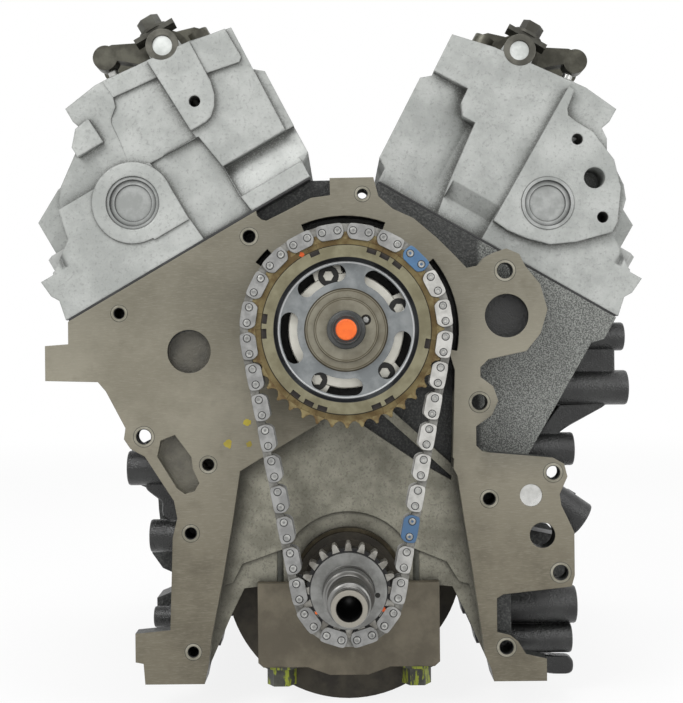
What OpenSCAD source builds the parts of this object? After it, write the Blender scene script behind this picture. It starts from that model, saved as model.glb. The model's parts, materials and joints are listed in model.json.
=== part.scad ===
// Long block of a 60 degree pushrod V6: iron block, two aluminium heads, crank train and timing chain.
// X is to the right seen from the front, Y runs from front to rear and Z is up.
// The origin is the crank axis at the rear face of the crankshaft flange.

/* [Cylinders] */
// Cylinder bore
bore = 96; // [90:0.5:98]
// Piston stroke
stroke = 87; // [80:0.5:90]
// Distance between neighbouring bores of one bank
bore_pitch = 108; // [106:0.5:114]
// How far the right bank sits behind the left bank
bank_stagger = 24; // [23.5:0.5:27]
// Connecting rod length between centres
rod_len = 150; // [145:0.5:155]
// Piston pin to piston crown
pin_to_crown = 37.5; // [36:0.5:40]

/* [Block] */
// Front face to the centre of the first main bearing
front_bulk = 16; // [15:0.5:20]
// Centre of the last main bearing to the rear face
rear_bulk = 38; // [34:1:44]
// Thickness of the main bearing caps and bulkheads
main_cap_t = 24; // [22:0.5:26]
// Pan rail below the crank axis
pan_drop = 62; // [60:0.5:68]
// Height of the camshaft above the crank axis
cam_z = 159; // [158.5:0.1:160]
// Depth of the cast recess behind the timing chain
recess_d = 9; // [6:0.5:10]
// Thickness of the front timing cover flange
face_t = 14; // [10:0.5:16]

/* [Cylinder heads] */
// Head gasket thickness
gasket_t = 1.5; // [1:0.1:2]
// Gap from the outer bore to the end of the head
head_margin = 10; // [9:0.5:14]
// Radius of the intake valve head
intake_r = 20; // [18:0.1:20.4]
// Radius of the exhaust valve head
exhaust_r = 16.5; // [15:0.1:17]
// Valve stem radius
stem_r = 3.5; // [3:0.1:4]
// Largest valve spring radius
spring_r = 14; // [12.5:0.1:14.5]

/* [Crankshaft] */
// Main journal radius
main_r = 32; // [30:0.1:33]
// Crankpin radius
pin_r = 29; // [27:0.1:29.5]
// Width of one connecting rod
rod_w = 20.5; // [19:0.1:20.5]
// Counterweight radius
weight_r = 79; // [76:0.5:80]
// Crank angle at rest, clockwise from the front
crank_angle = 55; // [55:1:56]
// Piston pin radius
wrist_r = 11.4; // [10.5:0.1:11.6]

/* [Timing drive] */
// Timing chain pitch
chain_pitch = 9.525; // [9.5:0.005:9.55]
// Teeth of the crankshaft sprocket
crank_teeth = 20; // [20:1:20]
// Timing chain plane in front of the block face
chain_out = 18; // [17:0.5:20]
// Camshaft journal radius
cam_journal_r = 25; // [24:0.1:26]
// Half of the length of a camshaft journal
cam_journal_half = 9.2; // [8:0.1:9.4]
// Lobe lift
lobe_lift = 6.7; // [6:0.1:6.9]
// Lifter body radius
lifter_r = 11.45; // [11:0.05:11.5]

/* [Fits] */
// Radial oil gap of the plain bearings
oil_gap = 0.04; // [0.02:0.01:0.08]
// Radial gap of sliding pistons, valves and rockers
slide_gap = 0.03; // [0.02:0.01:0.05]
// Extra radius of the piston pin bore, which lets the linked joints run freely
link_gap = 1.15; // [1.1:0.05:1.3]
// Gap between pieces that are clamped or pressed together
seat_gap = 0.02; // [0.01:0.01:0.04]

/* [Hidden] */
$fn = 48;

// Lengths along the engine
flange_out = 12;
y_rear = -flange_out;
y_front = y_rear - rear_bulk - 3 * bore_pitch - front_bulk;
y_chain = y_front - chain_out;
function y_main(i) = y_front + front_bulk + i * bore_pitch;
function is_left(k) = k % 2 == 1;
function side(k) = is_left(k) ? -1 : 1;
function y_cyl(k) = y_main(floor((k - 1) / 2)) + bore_pitch / 2 + side(k) * bank_stagger / 2;
head_len = 2 * bore_pitch + bore + 2 * head_margin;
function y_head(s) = y_cyl(s < 0 ? 1 : 2) - bore / 2 - head_margin;

// Bank geometry: v is across the bank, outward, and u runs up along the bores
bank_tilt = 30;
deck_u = stroke / 2 + rod_len + pin_to_crown;
head_u = deck_u + gasket_t;
deck_in = -109;
deck_out = 68;
bank_out = 62;
cam_v = -cam_z * sin(bank_tilt);
cam_u = cam_z * cos(bank_tilt);

// Valve gear in bank coordinates
valve_y = 21;
valve_tilt = 9;
valve_v = -14;
valve_len = 132.6;
seat_s = 8;
shaft_v = -71;
shaft_u = deck_u + 120;
shaft_r = 10.5;
nose_r = 8;
nose_gap = 0.03;
nose_v = 36;
tip_v = valve_v - valve_len * sin(valve_tilt);
tip_u = deck_u + valve_len * cos(valve_tilt);
nose_u = tip_u - shaft_u + nose_r / cos(valve_tilt) + nose_gap
    + tan(valve_tilt) * (shaft_v + nose_v - tip_v);
socket_v = -23;
socket_u = -9;
ball_r = 4.2;
floor_u = head_u + 84;

function turn(p, a) = [p[0] * cos(a) + p[1] * sin(a), -p[0] * sin(a) + p[1] * cos(a)];
function nose_at(a) = [shaft_v, shaft_u] + turn([nose_v, nose_u], a);
function socket_at(a) = [shaft_v, shaft_u] + turn([socket_v, socket_u], a);
function tip_s(a) = let (p = nose_at(a) - [valve_v, deck_u])
    -p[0] * sin(valve_tilt) + p[1] * cos(valve_tilt) - nose_r - nose_gap;

// Camshaft and lifters
base_r = 15;
lobe_half = 62;
lobe_w = 14;
roller_r = 9.5;
roller_w = 12;
roller_gap = 0.08;
lifter_up = 40;
lifter_dir = atan2(socket_at(0)[0] - cam_v, socket_at(0)[1] - cam_u);
window = 9;
function lobe_radius(a) = abs(a) < lobe_half ? base_r + lobe_lift * pow(cos(90 * a / lobe_half), 2) : base_r;
function lobe_offset(k, intake) = let (a = (intake ? 152.5 : -97.5) - 60 * (k - 1) - (crank_angle - 55) / 2)
    a < -180 ? a + 360 : a;
function roller_at(k, intake) = max([for (w = [-window:1.5:window]) for (a = [-36:2:36])
    let (rho = lobe_radius(lobe_offset(k, intake) + w + a))
    abs(rho * sin(a)) < roller_r ? rho * cos(a) + sqrt(pow(roller_r, 2) - pow(rho * sin(a), 2)) : 0]);
function lifter_rise(k, intake) = roller_at(k, intake) - base_r - roller_r;
function rocker_turn(k, intake) = lifter_rise(k, intake) * 180 / PI / norm([socket_v, socket_u])
    / sin(atan2(-socket_v, -socket_u) - lifter_dir);
function valve_drop(k, intake) = tip_s(0) - tip_s(rocker_turn(k, intake));
function y_valve(k, intake) = y_cyl(k) + valve_y * side(k) * (intake ? -1 : 1);

// Crank train
crank_r = stroke / 2;
pin_phase = [-30, -90, 90, 30, -150, 150];
function pin_angle(k) = crank_angle + pin_phase[k - 1];
function bank_angle(k) = side(k) * bank_tilt;
function phase(k) = pin_angle(k) - bank_angle(k);
// The rods and pistons follow the crank in straight proportion, so at rest each stands half of the
// error of that proportion aside, which spreads the error evenly over the travel.
crank_travel = 18;
function rod_lean(k, da = 0) = asin(crank_r * sin(phase(k) + da) / rod_len);
function pin_height(k, da = 0) = crank_r * cos(phase(k) + da)
    + sqrt(pow(rod_len, 2) - pow(crank_r * sin(phase(k) + da), 2));
function even(a, b, c) = (a + c) / 4 + b / 2;
function lean_at_rest(k) = even(rod_lean(k, -crank_travel), rod_lean(k), rod_lean(k, crank_travel));
function pin_at_rest(k) = even(pin_height(k, -crank_travel), pin_height(k), pin_height(k, crank_travel));

// Sprockets and chain
cam_teeth = 2 * crank_teeth;
cam_pitch_r = chain_pitch / 2 / sin(180 / cam_teeth);
crank_pitch_r = chain_pitch / 2 / sin(180 / crank_teeth);
tooth_w = 11;
tooth_tip_in = 1.6;
tooth_root_in = 4.6;
tooth_tip_half = 1.2;
tooth_root_half = 1.75;

iron_face = [0.42, 0.38, 0.33];
black = [0.10, 0.10, 0.11];
aluminium = [0.66, 0.67, 0.68];
steel = [0.72, 0.72, 0.72];
dark_steel = [0.30, 0.29, 0.26];
bronze = [0.55, 0.45, 0.30];

// Extrudes a profile drawn in X and Z along Y
module along_y(y0, y1) {
    translate([0, y1, 0]) rotate([90, 0, 0]) linear_extrude(y1 - y0) children();
}
module rod_y(x, z, r, y0, y1) {
    along_y(y0, y1) translate([x, z]) circle(r);
}
// Puts bank coordinates (v, y, u) in place: s is -1 for the left bank and 1 for the right bank
module bank(s) {
    if (s > 0) rotate([0, bank_tilt, 0]) children();
    else mirror([1, 0, 0]) rotate([0, bank_tilt, 0]) children();
}
module valve_axis(y) {
    translate([valve_v, y, deck_u]) rotate([0, -valve_tilt, 0]) children();
}
module lifter_axis(s, y) {
    bank(s) translate([cam_v, y, cam_u]) rotate([0, lifter_dir, 0]) children();
}
module hex_head(r, h) {
    cylinder(r = r / cos(30), h = h, $fn = 6);
}

// Outline of the machined timing cover face
function left_point(v, u) = [-v * cos(bank_tilt) - u * sin(bank_tilt), -v * sin(bank_tilt) + u * cos(bank_tilt)];
face_left = [left_point(deck_in, deck_u), left_point(deck_out, deck_u), [-174.4, 152], [-189, 151], [-189, 129], [-156, 128], [-151, 122],
    [-139, 99], [-140, 92], [-136, 86], [-127, 81], [-109, 53], [-107, 42], [-110, 30], [-112, -28],
    [-134, -30], [-134, -48], [-129, -49], [-128, -pan_drop], [-93, -pan_drop]];
face_right = [[94, -pan_drop], [124, -pan_drop], [124, -48], [111, -45], [106, -37], [101, -33],
    [93, -31], [93, -10], [97, -7.5], [140, -3], [142, 4], [142, 31], [134, 48], [133, 55], [138, 66],
    [136, 74], [129, 78], [85, 82], [81, 86], [81, 98], [91, 105], [95, 114], [92, 123], [84, 129],
    [84, 135], [89, 140], [113, 145], [122, 156], [126.5, 171], [122, 187], [113, 198], [109, 206],
    [101, 209.5], [93, 207], [87, 204], [83, 199], [76, 197.5], [67, 207], [57, 217], [43, 229],
    [30, 235], [21, 243], [18, 255]];
recess_left = [[-90, -pan_drop - 1], [-88, -49], [-86, -32], [-79, 2], [-72, 41], [-67.3, 71.3], [-51.7, 80.7],
    [-16.5, 101.3], [-18, 110]];
recess_right = [[16, 110], [67, 78], [66.5, 72], [69, 67], [73, 39.4], [78, 7], [86, -50], [90, -pan_drop - 1]];

module face_outline() {
    polygon(concat(face_left, face_right));
}
module chain_recess_outline() {
    polygon(concat(recess_left, recess_right));
    translate([0, cam_z]) circle(r = cam_room_r, $fn = 96);
}
// The floor round the crank and beside the main cap is cast a little deeper
module crank_floor_outline() {
    circle(r = 44.5, $fn = 96);
    polygon([[-95, -pan_drop - 1], [-78.5, -1.7], [-73.2, 0], [-67.1, 11.8], [-42, 20.5], [42, 20.5], [62.4, 12.1],
        [70.3, -0.6], [76.4, -2.2], [95, -pan_drop - 1]]);
}
// Deep cast pocket along the right chain strand, with the ribs that stand in it
module strand_pocket_outline() {
    difference() {
        union() {
            polygon([[4.5, 102.7], [41.6, 77.2], [65.9, 63.7], [66, 73.5], [67.9, 133.5], [63, 150], [20, 125]]);
            ring_slot(76, 25, 58, 70.8);
        }
        translate([0, cam_z]) circle(r = cam_room_r - 0.5, $fn = 96);
    }
}
// Slot round the cam axis: middle angle, half angle and radii
module ring_slot(mid, half, r0, r1) {
    translate([0, cam_z]) rotate(-mid) intersection() {
        difference() {
            circle(r = r1, $fn = 96);
            circle(r = r0, $fn = 96);
        }
        polygon([[0, 0], [-2 * r1 * sin(half), 2 * r1 * cos(half)], [0, 2 * r1], [2 * r1 * sin(half), 2 * r1 * cos(half)]]);
    }
}
cam_room_r = 50;
crank_floor_d = 1.8;
pocket_d = 16;
face_holes = [[-60.3, 218.5, 4.1], [88.8, 52.5, 4.1], [-142.3, 171, 3.6], [-97.7, -41.8, 3.6],
    [-127.5, 93.5, 4.9], [133.2, 5.8, 4.9], [-87.3, 75.6, 3.9], [-98.6, 32.6, 3.9], [100, 195.6, 5],
    [83.3, 113.2, 5], [129, 68.6, 4.5], [98.8, -40.7, 4.5], [11, 244.5, 3.3]];
blind_ports = [[-98.6, 146.7, 13.6], [100.8, 167.3, 13.7]];
top_slot = [[-56, 236], [-55.2, 231.7], [-52.5, 229], [-49.3, 228.3], [-35.8, 234.9], [-21.5, 242.3],
    [-9.3, 243.9], [-9.6, 262], [-21.4, 262]];
cover_dowel = [115, 54.5, 7];
water_port = [122, 29.4, 8];
pocket = [[-108, 94.4], [-97.8, 80.4], [-97, 73], [-93, 64], [-96, 59], [-102, 57.3], [-107, 61],
    [-119.2, 81], [-117, 91]];
face_hole_depth = 24;
blind_depth = 6;

// Deck, bore wall and outer wall of one bank, in bank coordinates
module bank_section() {
    polygon([[deck_in, deck_u], [deck_in + 1, deck_u - 12], [-bore / 2 - 12, deck_u - 12],
        [-bore / 2 - 12, 60], [bank_out, 60], [bank_out, deck_u - 22], [deck_out, deck_u - 16],
        [deck_out, deck_u]]);
}
skirt_out = 103;
crank_room = 94;
cam_room = 27.5;
valley_floor = 54;
module block_section() {
    polygon([[-skirt_out, -pan_drop], [skirt_out, -pan_drop], [skirt_out, 40], [60, 120], [60, 190],
        [45, 216], [-45, 216], [-60, 190], [-60, 120], [-skirt_out, 40]]);
}
module valley_half() {
    floor_v = cam_v + valley_floor * sin(lifter_dir);
    polygon([[0, deck_u * 1.2], [0, cam_z + valley_floor / cos(bank_tilt + lifter_dir)],
        [48, cam_z + valley_floor / cos(bank_tilt + lifter_dir) - 48 * tan(bank_tilt + lifter_dir)],
        [(-bore / 2 - 14) * cos(bank_tilt) + (deck_u - 12) * sin(bank_tilt),
            (bore / 2 + 14) * sin(bank_tilt) + (deck_u - 12) * cos(bank_tilt)],
        [(deck_in + 1) * cos(bank_tilt) + (deck_u - 12) * sin(bank_tilt),
            -(deck_in + 1) * sin(bank_tilt) + (deck_u - 12) * cos(bank_tilt)],
        [deck_in * cos(bank_tilt) + deck_u * sin(bank_tilt),
            -deck_in * sin(bank_tilt) + deck_u * cos(bank_tilt) + 3]]);
}
head_bolt_v = [-46, 52];
bolt_inset = [21, 12];

// Distance of head bolt i of row j from the end of the head
function bolt_t(i, j) = min(max(head_margin + bore / 2 + (i - 0.5) * bore_pitch, bolt_inset[j]), head_len - bolt_inset[j]);
module head_bolt_holes(s, u0, u1, r) {
    for (i = [0:3]) for (j = [0, 1]) translate([head_bolt_v[j], y_head(s) + bolt_t(i, j), u0]) cylinder(r = r, h = u1 - u0);
}
bell_r = 168;
bell_z = 20;
bell_t = 16;
module bell_outline() {
    intersection() {
        translate([0, bell_z]) circle(r = bell_r, $fn = 96);
        translate([-bell_r, -pan_drop]) square([2 * bell_r, bell_r + pan_drop + 40]);
    }
}
bell_holes = [for (a = [-62, -34, 34, 62, 100, -100]) [(bell_r - 12) * sin(a), bell_z + (bell_r - 12) * cos(a)]];

module side_bosses() {
    // Engine mount pads and ribs on the right wall
    for (y = [y_front + 62, y_front + 128, y_front + 236]) {
        rod_y(139, 116, 12, y, y + 22);
        along_y(y, y + 22) polygon([[92, 60], [118, 84], [150, 112], [141, 128], [112, 118]]);
        along_y(y + 4, y + 30) polygon([[98, 60], [143, 68], [149, 76], [145, 88], [112, 92]]);
        rod_y(141, 80, 10, y + 4, y + 30);
        along_y(y, y + 26) polygon([[98, -36], [143, -36], [150, -28], [150, 14], [144, 20], [98, 30]]);
        along_y(y - 10, y + 20) polygon([[98, 24], [148, 40], [152, 50], [98, 56]]);
    }
    // Pads on the left wall
    for (y = [y_front + 58, y_front + 150, y_front + 240]) {
        along_y(y, y + 26) polygon([[-98, 30], [-130, 54], [-144, 60], [-144, 82], [-132, 88], [-112, 84]]);
        along_y(y, y + 30) polygon([[-98, -10], [-124, 2], [-131, 12], [-131, 30], [-120, 40], [-98, 44]]);
        along_y(y, y + 30) polygon([[-98, -46], [-128, -38], [-128, -18], [-98, -6]]);
    }
}

module cylinder_block() {
    color(black) difference() {
        union() {
            along_y(y_front, y_front + face_t) face_outline();
            along_y(y_front + recess_d + 0.5, y_rear) block_section();
            bank(-1) along_y(y_head(-1), y_head(-1) + head_len) bank_section();
            bank(1) along_y(y_head(1), y_head(1) + head_len) bank_section();
            along_y(y_front + 2, y_front + 22) polygon([[-80, 100], [-66, 190], [-22, 250], [20, 250],
                [50, 222], [72, 190], [84, 100]]);
            along_y(y_rear - bell_t, y_rear) bell_outline();
            along_y(y_rear - 26, y_rear) polygon([[-60, 100], [-50, 235], [-22, 250], [22, 250],
                [50, 235], [60, 100]]);
            for (s = [-1, 1])
                along_y(y_front + face_t - 1, y_rear)
                    translate([s > 0 ? crank_room : -crank_room - 18, -pan_drop]) square([18, 12]);
            side_bosses();
        }
        // Cylinder bores
        for (k = [1:6]) bank(side(k)) translate([0, y_cyl(k), 62]) cylinder(r = bore / 2, h = deck_u, $fn = 96);
        // Crank room between the bulkheads
        for (i = [0:2]) along_y(y_main(i) + main_cap_t / 2, y_main(i + 1) - main_cap_t / 2) {
            circle(r = crank_room, $fn = 96);
            translate([-crank_room, -pan_drop - 1]) square([2 * crank_room, pan_drop + 1]);
        }
        along_y(y_main(3) + main_cap_t / 2, y_rear - 20) {
            circle(r = 60, $fn = 96);
            translate([-70, -pan_drop - 1]) square([140, pan_drop + 1]);
        }
        // Main bearing saddles and the seats of the main caps
        rod_y(0, 0, main_r + shell_t, y_front - 1, y_main(3) + main_cap_t / 2 + 1);
        rod_y(0, 0, 50, y_rear - 21, y_rear + 1);
        for (i = [0:3]) along_y(y_main(i) - main_cap_t / 2 - (i == 0 ? front_bulk : 1), y_main(i) + main_cap_t / 2 + 1)
            translate([-cap_half - 0.1, -pan_drop - 1]) square([2 * cap_half + 0.2, pan_drop + 1]);
        for (i = [0:3]) for (x = [-cap_bolt_x, cap_bolt_x]) translate([x, y_main(i), -1]) cylinder(r = cap_bolt_r + seat_gap, h = 51);
        // Cut-outs of the bulkheads beside the main caps
        for (i = [0:2]) along_y(y_main(i) - (i == 0 ? front_bulk + 1 : main_cap_t), y_main(i) + main_cap_t) for (s = [0, 1])
            mirror([s, 0]) polygon([[cap_half - 1, -3], [66, -4], [74, -20], [89, -54], [91, -pan_drop - 1],
                [cap_half - 1, -pan_drop - 1]]);
        // Camshaft tunnel
        rod_y(0, cam_z, cam_journal_r + bush_t, y_front - 1, y_main(3) + main_cap_t / 2);
        for (i = [0:2]) rod_y(0, cam_z, cam_room, y_main(i) + main_cap_t / 2, y_main(i + 1) - main_cap_t / 2);
        // Lifter bores and pushrod passages
        for (k = [1:6]) for (intake = [false, true]) lifter_axis(side(k), y_valve(k, intake)) {
            cylinder(r = lifter_r + slide_gap, h = valley_floor + 4);
            translate([0, 0, valley_floor]) cylinder(r = 8, h = 80);
        }
        // Lifter valley
        along_y(y_front + 22, y_rear - 26) union() {
            valley_half();
            mirror([1, 0]) valley_half();
        }
        // Chain recess in the front face
        along_y(y_front - 1, y_front + recess_d) chain_recess_outline();
        along_y(y_front, y_front + recess_d + crank_floor_d) intersection() {
            chain_recess_outline();
            crank_floor_outline();
        }
        difference() {
            along_y(y_front - 1, y_front + pocket_d) strand_pocket_outline();
            along_y(y_front + 10, y_front + pocket_d + 1) polygon([[22, 114], [66, 74], [66, 66], [20, 108]]);
        }
        // Oil return slots beside the upper half of the chain
        along_y(y_front - 1, y_front + pocket_d) ring_slot(-1, 21.5, 62, 72);
        along_y(y_front - 1, y_front + pocket_d) ring_slot(-48, 4.5, 62, 71);
        for (h = face_holes) rod_y(h[0], h[1], h[2], y_front - 1, y_front + face_hole_depth);
        for (h = blind_ports) rod_y(h[0], h[1], h[2], y_front - 1, y_front + blind_depth);
        rod_y(water_port[0], water_port[1], water_port[2], y_front - 1, y_front + face_t + 1);
        rod_y(cover_dowel[0], cover_dowel[1], cover_dowel[2] + seat_gap, y_front - 1, y_front + face_t + 1);
        along_y(y_front - 1, y_front + 8) polygon(pocket);
        along_y(y_front - 1, y_front + 12) polygon(top_slot);
        for (h = bell_holes) rod_y(h[0], h[1], 5.2, y_rear - bell_t - 1, y_rear + 1);
        for (s = [-1, 1]) bank(s) head_bolt_holes(s, deck_u - 55, deck_u + 1, head_bolt_r);
        // Thrust plate screw holes
        for (a = plate_screws) rod_y(plate_r * sin(a), cam_z + plate_r * cos(a), 3 + seat_gap, y_front, y_front + recess_d + 10);
    }
}

cap_half = 57.3;
cap_bolt_x = 43;
cap_bolt_r = 5.5;
shell_t = 2.5;
bush_t = 1.8;
head_bolt_r = 5.5;
plate_screws = [-17.5, 68, 138, 211];

module main_bearing_caps() {
    color(iron_face) for (i = [0:3]) difference() {
        along_y(y_main(i) - main_cap_t / 2, y_main(i) + main_cap_t / 2)
            polygon([[-cap_half, 0], [-cap_half, -50], [-54, -53], [-26, -53], [-12, -58], [12, -58],
                [26, -53], [54, -53], [cap_half, -50], [cap_half, 0]]);
        rod_y(0, 0, main_r + shell_t, y_main(i) - main_cap_t, y_main(i) + main_cap_t);
        for (x = [-cap_bolt_x, cap_bolt_x]) translate([x, y_main(i), -80]) cylinder(r = cap_bolt_r + 0.3, h = 90);
        for (x = [-cap_bolt_x, cap_bolt_x]) translate([x, y_main(i), -80]) cylinder(r = 12, h = 27.5);
    }
}
module main_cap_bolts() {
    color(dark_steel) for (i = [0:3]) for (x = [-cap_bolt_x, cap_bolt_x]) translate([x, y_main(i), 0]) {
        translate([0, 0, -52.5]) cylinder(r = cap_bolt_r, h = 52.5 + 48);
        translate([0, 0, -55]) cylinder(r = 11, h = 2.5);
        translate([0, 0, -66]) hex_head(8, 11);
    }
}
module half_shell(r0, r1, y0, y1, up) {
    along_y(y0, y1) difference() {
        circle(r = r1, $fn = 96);
        circle(r = r0, $fn = 96);
        translate([-r1 - 1, up ? -r1 - 1 + seat_gap / 2 : -seat_gap / 2]) square([2 * r1 + 2, r1 + 1]);
    }
}
module engine_bearings() {
    color(bronze) {
        for (i = [0:3]) for (up = [true, false])
            half_shell(main_r + oil_gap, main_r + shell_t - seat_gap, y_main(i) - 10, y_main(i) + 10, up);
        for (i = [0:3]) along_y(i == 0 ? y_front + recess_d + 0.5 : y_main(i) - cam_journal_half,
            y_main(i) + cam_journal_half) translate([0, cam_z]) difference() {
            circle(r = cam_journal_r + bush_t - seat_gap, $fn = 96);
            circle(r = cam_journal_r + oil_gap, $fn = 96);
        }
    }
}

rail = [[-109, 0], [-114, 105.5], [-87, 111.5], [-22, 118], [2, 115.5], [2, 106], [-0.5, 100.5], [6, 96],
    [10, 89], [30, 75.5], [36, 68], [38.4, 58], [41.6, 43], [61.5, 28.5], [70, 28.5], [69, 17.5],
    [66, 12.5], [68.6, 0]];
rail_end = 11;
cavity = [[-103, 120], [-103, 84], [-14, 84], [-9, 90], [-9, 122]];
plug_r = 16.8;
// Core plugs in v and height above the head's lower face: end with the threaded pad, end with the bracket
plug_a = [-4.9, 42];
plug_b = [-7.1, 40.2];
plug_boss_r = 25.5;
// Outlines on the end with the threaded pad
end_pad = [[-57.9, 113.5], [-86.8, 110.5], [-85.6, 82], [-83.5, 74], [-79.5, 67.5], [-74.6, 63.2], [-70, 62],
    [-59.5, 62]];
end_block = [[-82, 111], [-110, 106.3], [-110, 86], [-107.2, 83.8], [-82, 89]];
upper_panel = [[-57.9, 102.3], [-27.8, 105.4], [-26.1, 99.7], [-20, 94.9], [-18.5, 92.4], [-17.2, 78.9],
    [-15, 65.2], [-26.8, 58.2], [-60, 57.3], [-59.5, 62]];
lower_panel = [[-26.8, 58.3], [-61.6, 57], [-65.3, 32.8], [-65.1, 12.4], [-67, -1], [-31.8, -1], [-30.5, 15.2],
    [-29.9, 39], [-29, 46]];
outer_corner = [[-26.9, 121], [-28.1, 104.4], [-26.1, 99.7], [-20, 94.9], [-18.5, 92.4], [-17.2, 78.9],
    [-15, 65.2], [12, 62], [50, 62], [50, 121]];
corner_boss = [[-7.6, 101.7], [-8.4, 84.4], [10.2, 84.4], [10.4, 91.2], [2.6, 100.1]];
// Outlines on the end with the bracket face, and its holes
bracket_t = 5; // [3:0.5:6]
bracket = [[-32.1, 112], [-31.9, 13.5], [-21, 12.4], [-7.4, 14], [7.2, 18], [21.1, 27.7], [38.1, 44.5],
    [37.8, 51.6], [28.8, 71.9], [16.3, 85.4], [-4.4, 94.2], [-16.7, 94.6], [-23.3, 95.6], [-25.9, 99],
    [-27.9, 112]];
bracket_holes = [[-10.8, 85.2, 3.6], [11, 69.1, 6.8], [28, 49.7, 3.6]];
valley_hollow = [[-125, 79], [-113, 79.3], [-88, 80.1], [-87.1, 69.7], [-82, 62.9], [-73, 63.1], [-68.6, 22],
    [-64.8, -1], [-125, -1]];
pedestal_w = 20;
// Distances from the front end of the left casting; the right casting is the same, turned end for end
function t_cyl(i) = head_margin + bore / 2 + i * bore_pitch;
pedestals = [12, t_cyl(0) + bore_pitch / 2, t_cyl(1) + bore_pitch / 2, head_len - 12];

module head_place(s) {
    if (s < 0) bank(-1) translate([0, y_head(-1), 0]) children();
    else bank(1) translate([0, y_head(1) + head_len, 0]) mirror([0, 1, 0]) children();
}
// A profile in v and height above the head's lower face, run along the engine
module head_y(y0, y1) {
    translate([0, 0, head_u]) along_y(y0, y1) children();
}
// A profile in distance from the end and height, run across the bank
module head_v(v0, v1) {
    translate([v0, 0, head_u]) rotate([90, 0, 90]) linear_extrude(v1 - v0) children();
}
// A profile in v and distance from the end, run up from height u0 to u1
module head_upright(u0, u1) {
    translate([0, 0, head_u + u0]) linear_extrude(u1 - u0) children();
}
module head_end_cuts() {
    // Panels, the sloping outer corner and the pocket of the end with the threaded pad
    head_y(-1, 2.2) polygon(upper_panel);
    head_y(-1, 3.6) polygon(lower_panel);
    intersection() {
        head_y(-1, 14) polygon(outer_corner);
        head_upright(60, 122) polygon([[-30, -1], [-30, 0], [-20, 1.5], [10, 5.5], [48, 12], [48, -1]]);
    }
    head_v(-125, -65.5) polygon([[-1, 10.9], [3, 10.9], [9, 33.2], [-1, 33.2]]);
    // Hollow towards the valley and the stepped foot of the bracket end
    intersection() {
        head_y(head_len - 14, head_len + 1) polygon(valley_hollow);
        head_upright(-1, 82) polygon([[-126, head_len - 4], [-96, head_len - 8], [-76, head_len - 13],
            [-60, head_len - 13], [-60, head_len + 1], [-126, head_len + 1]]);
    }
    head_v(-67, -32.5) polygon([[head_len - 7, -1], [head_len - 7, 13], [head_len, 24], [head_len + 1, 24],
        [head_len + 1, -1]]);
}
module head_end_bosses() {
    head_y(-4, 11) polygon(end_pad);
    head_y(-2.5, 11) polygon(end_block);
    head_y(-1, 13) polygon(corner_boss);
    head_y(-1.5, 8) {
        translate(plug_a) circle(r = plug_boss_r);
        polygon([[-30.2, 15.2], [plug_a[0], 15.2], [plug_a[0], 39], [-30.2, 39]]);
    }
    head_y(head_len - 8, head_len + bracket_t) polygon(bracket);
}
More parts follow.
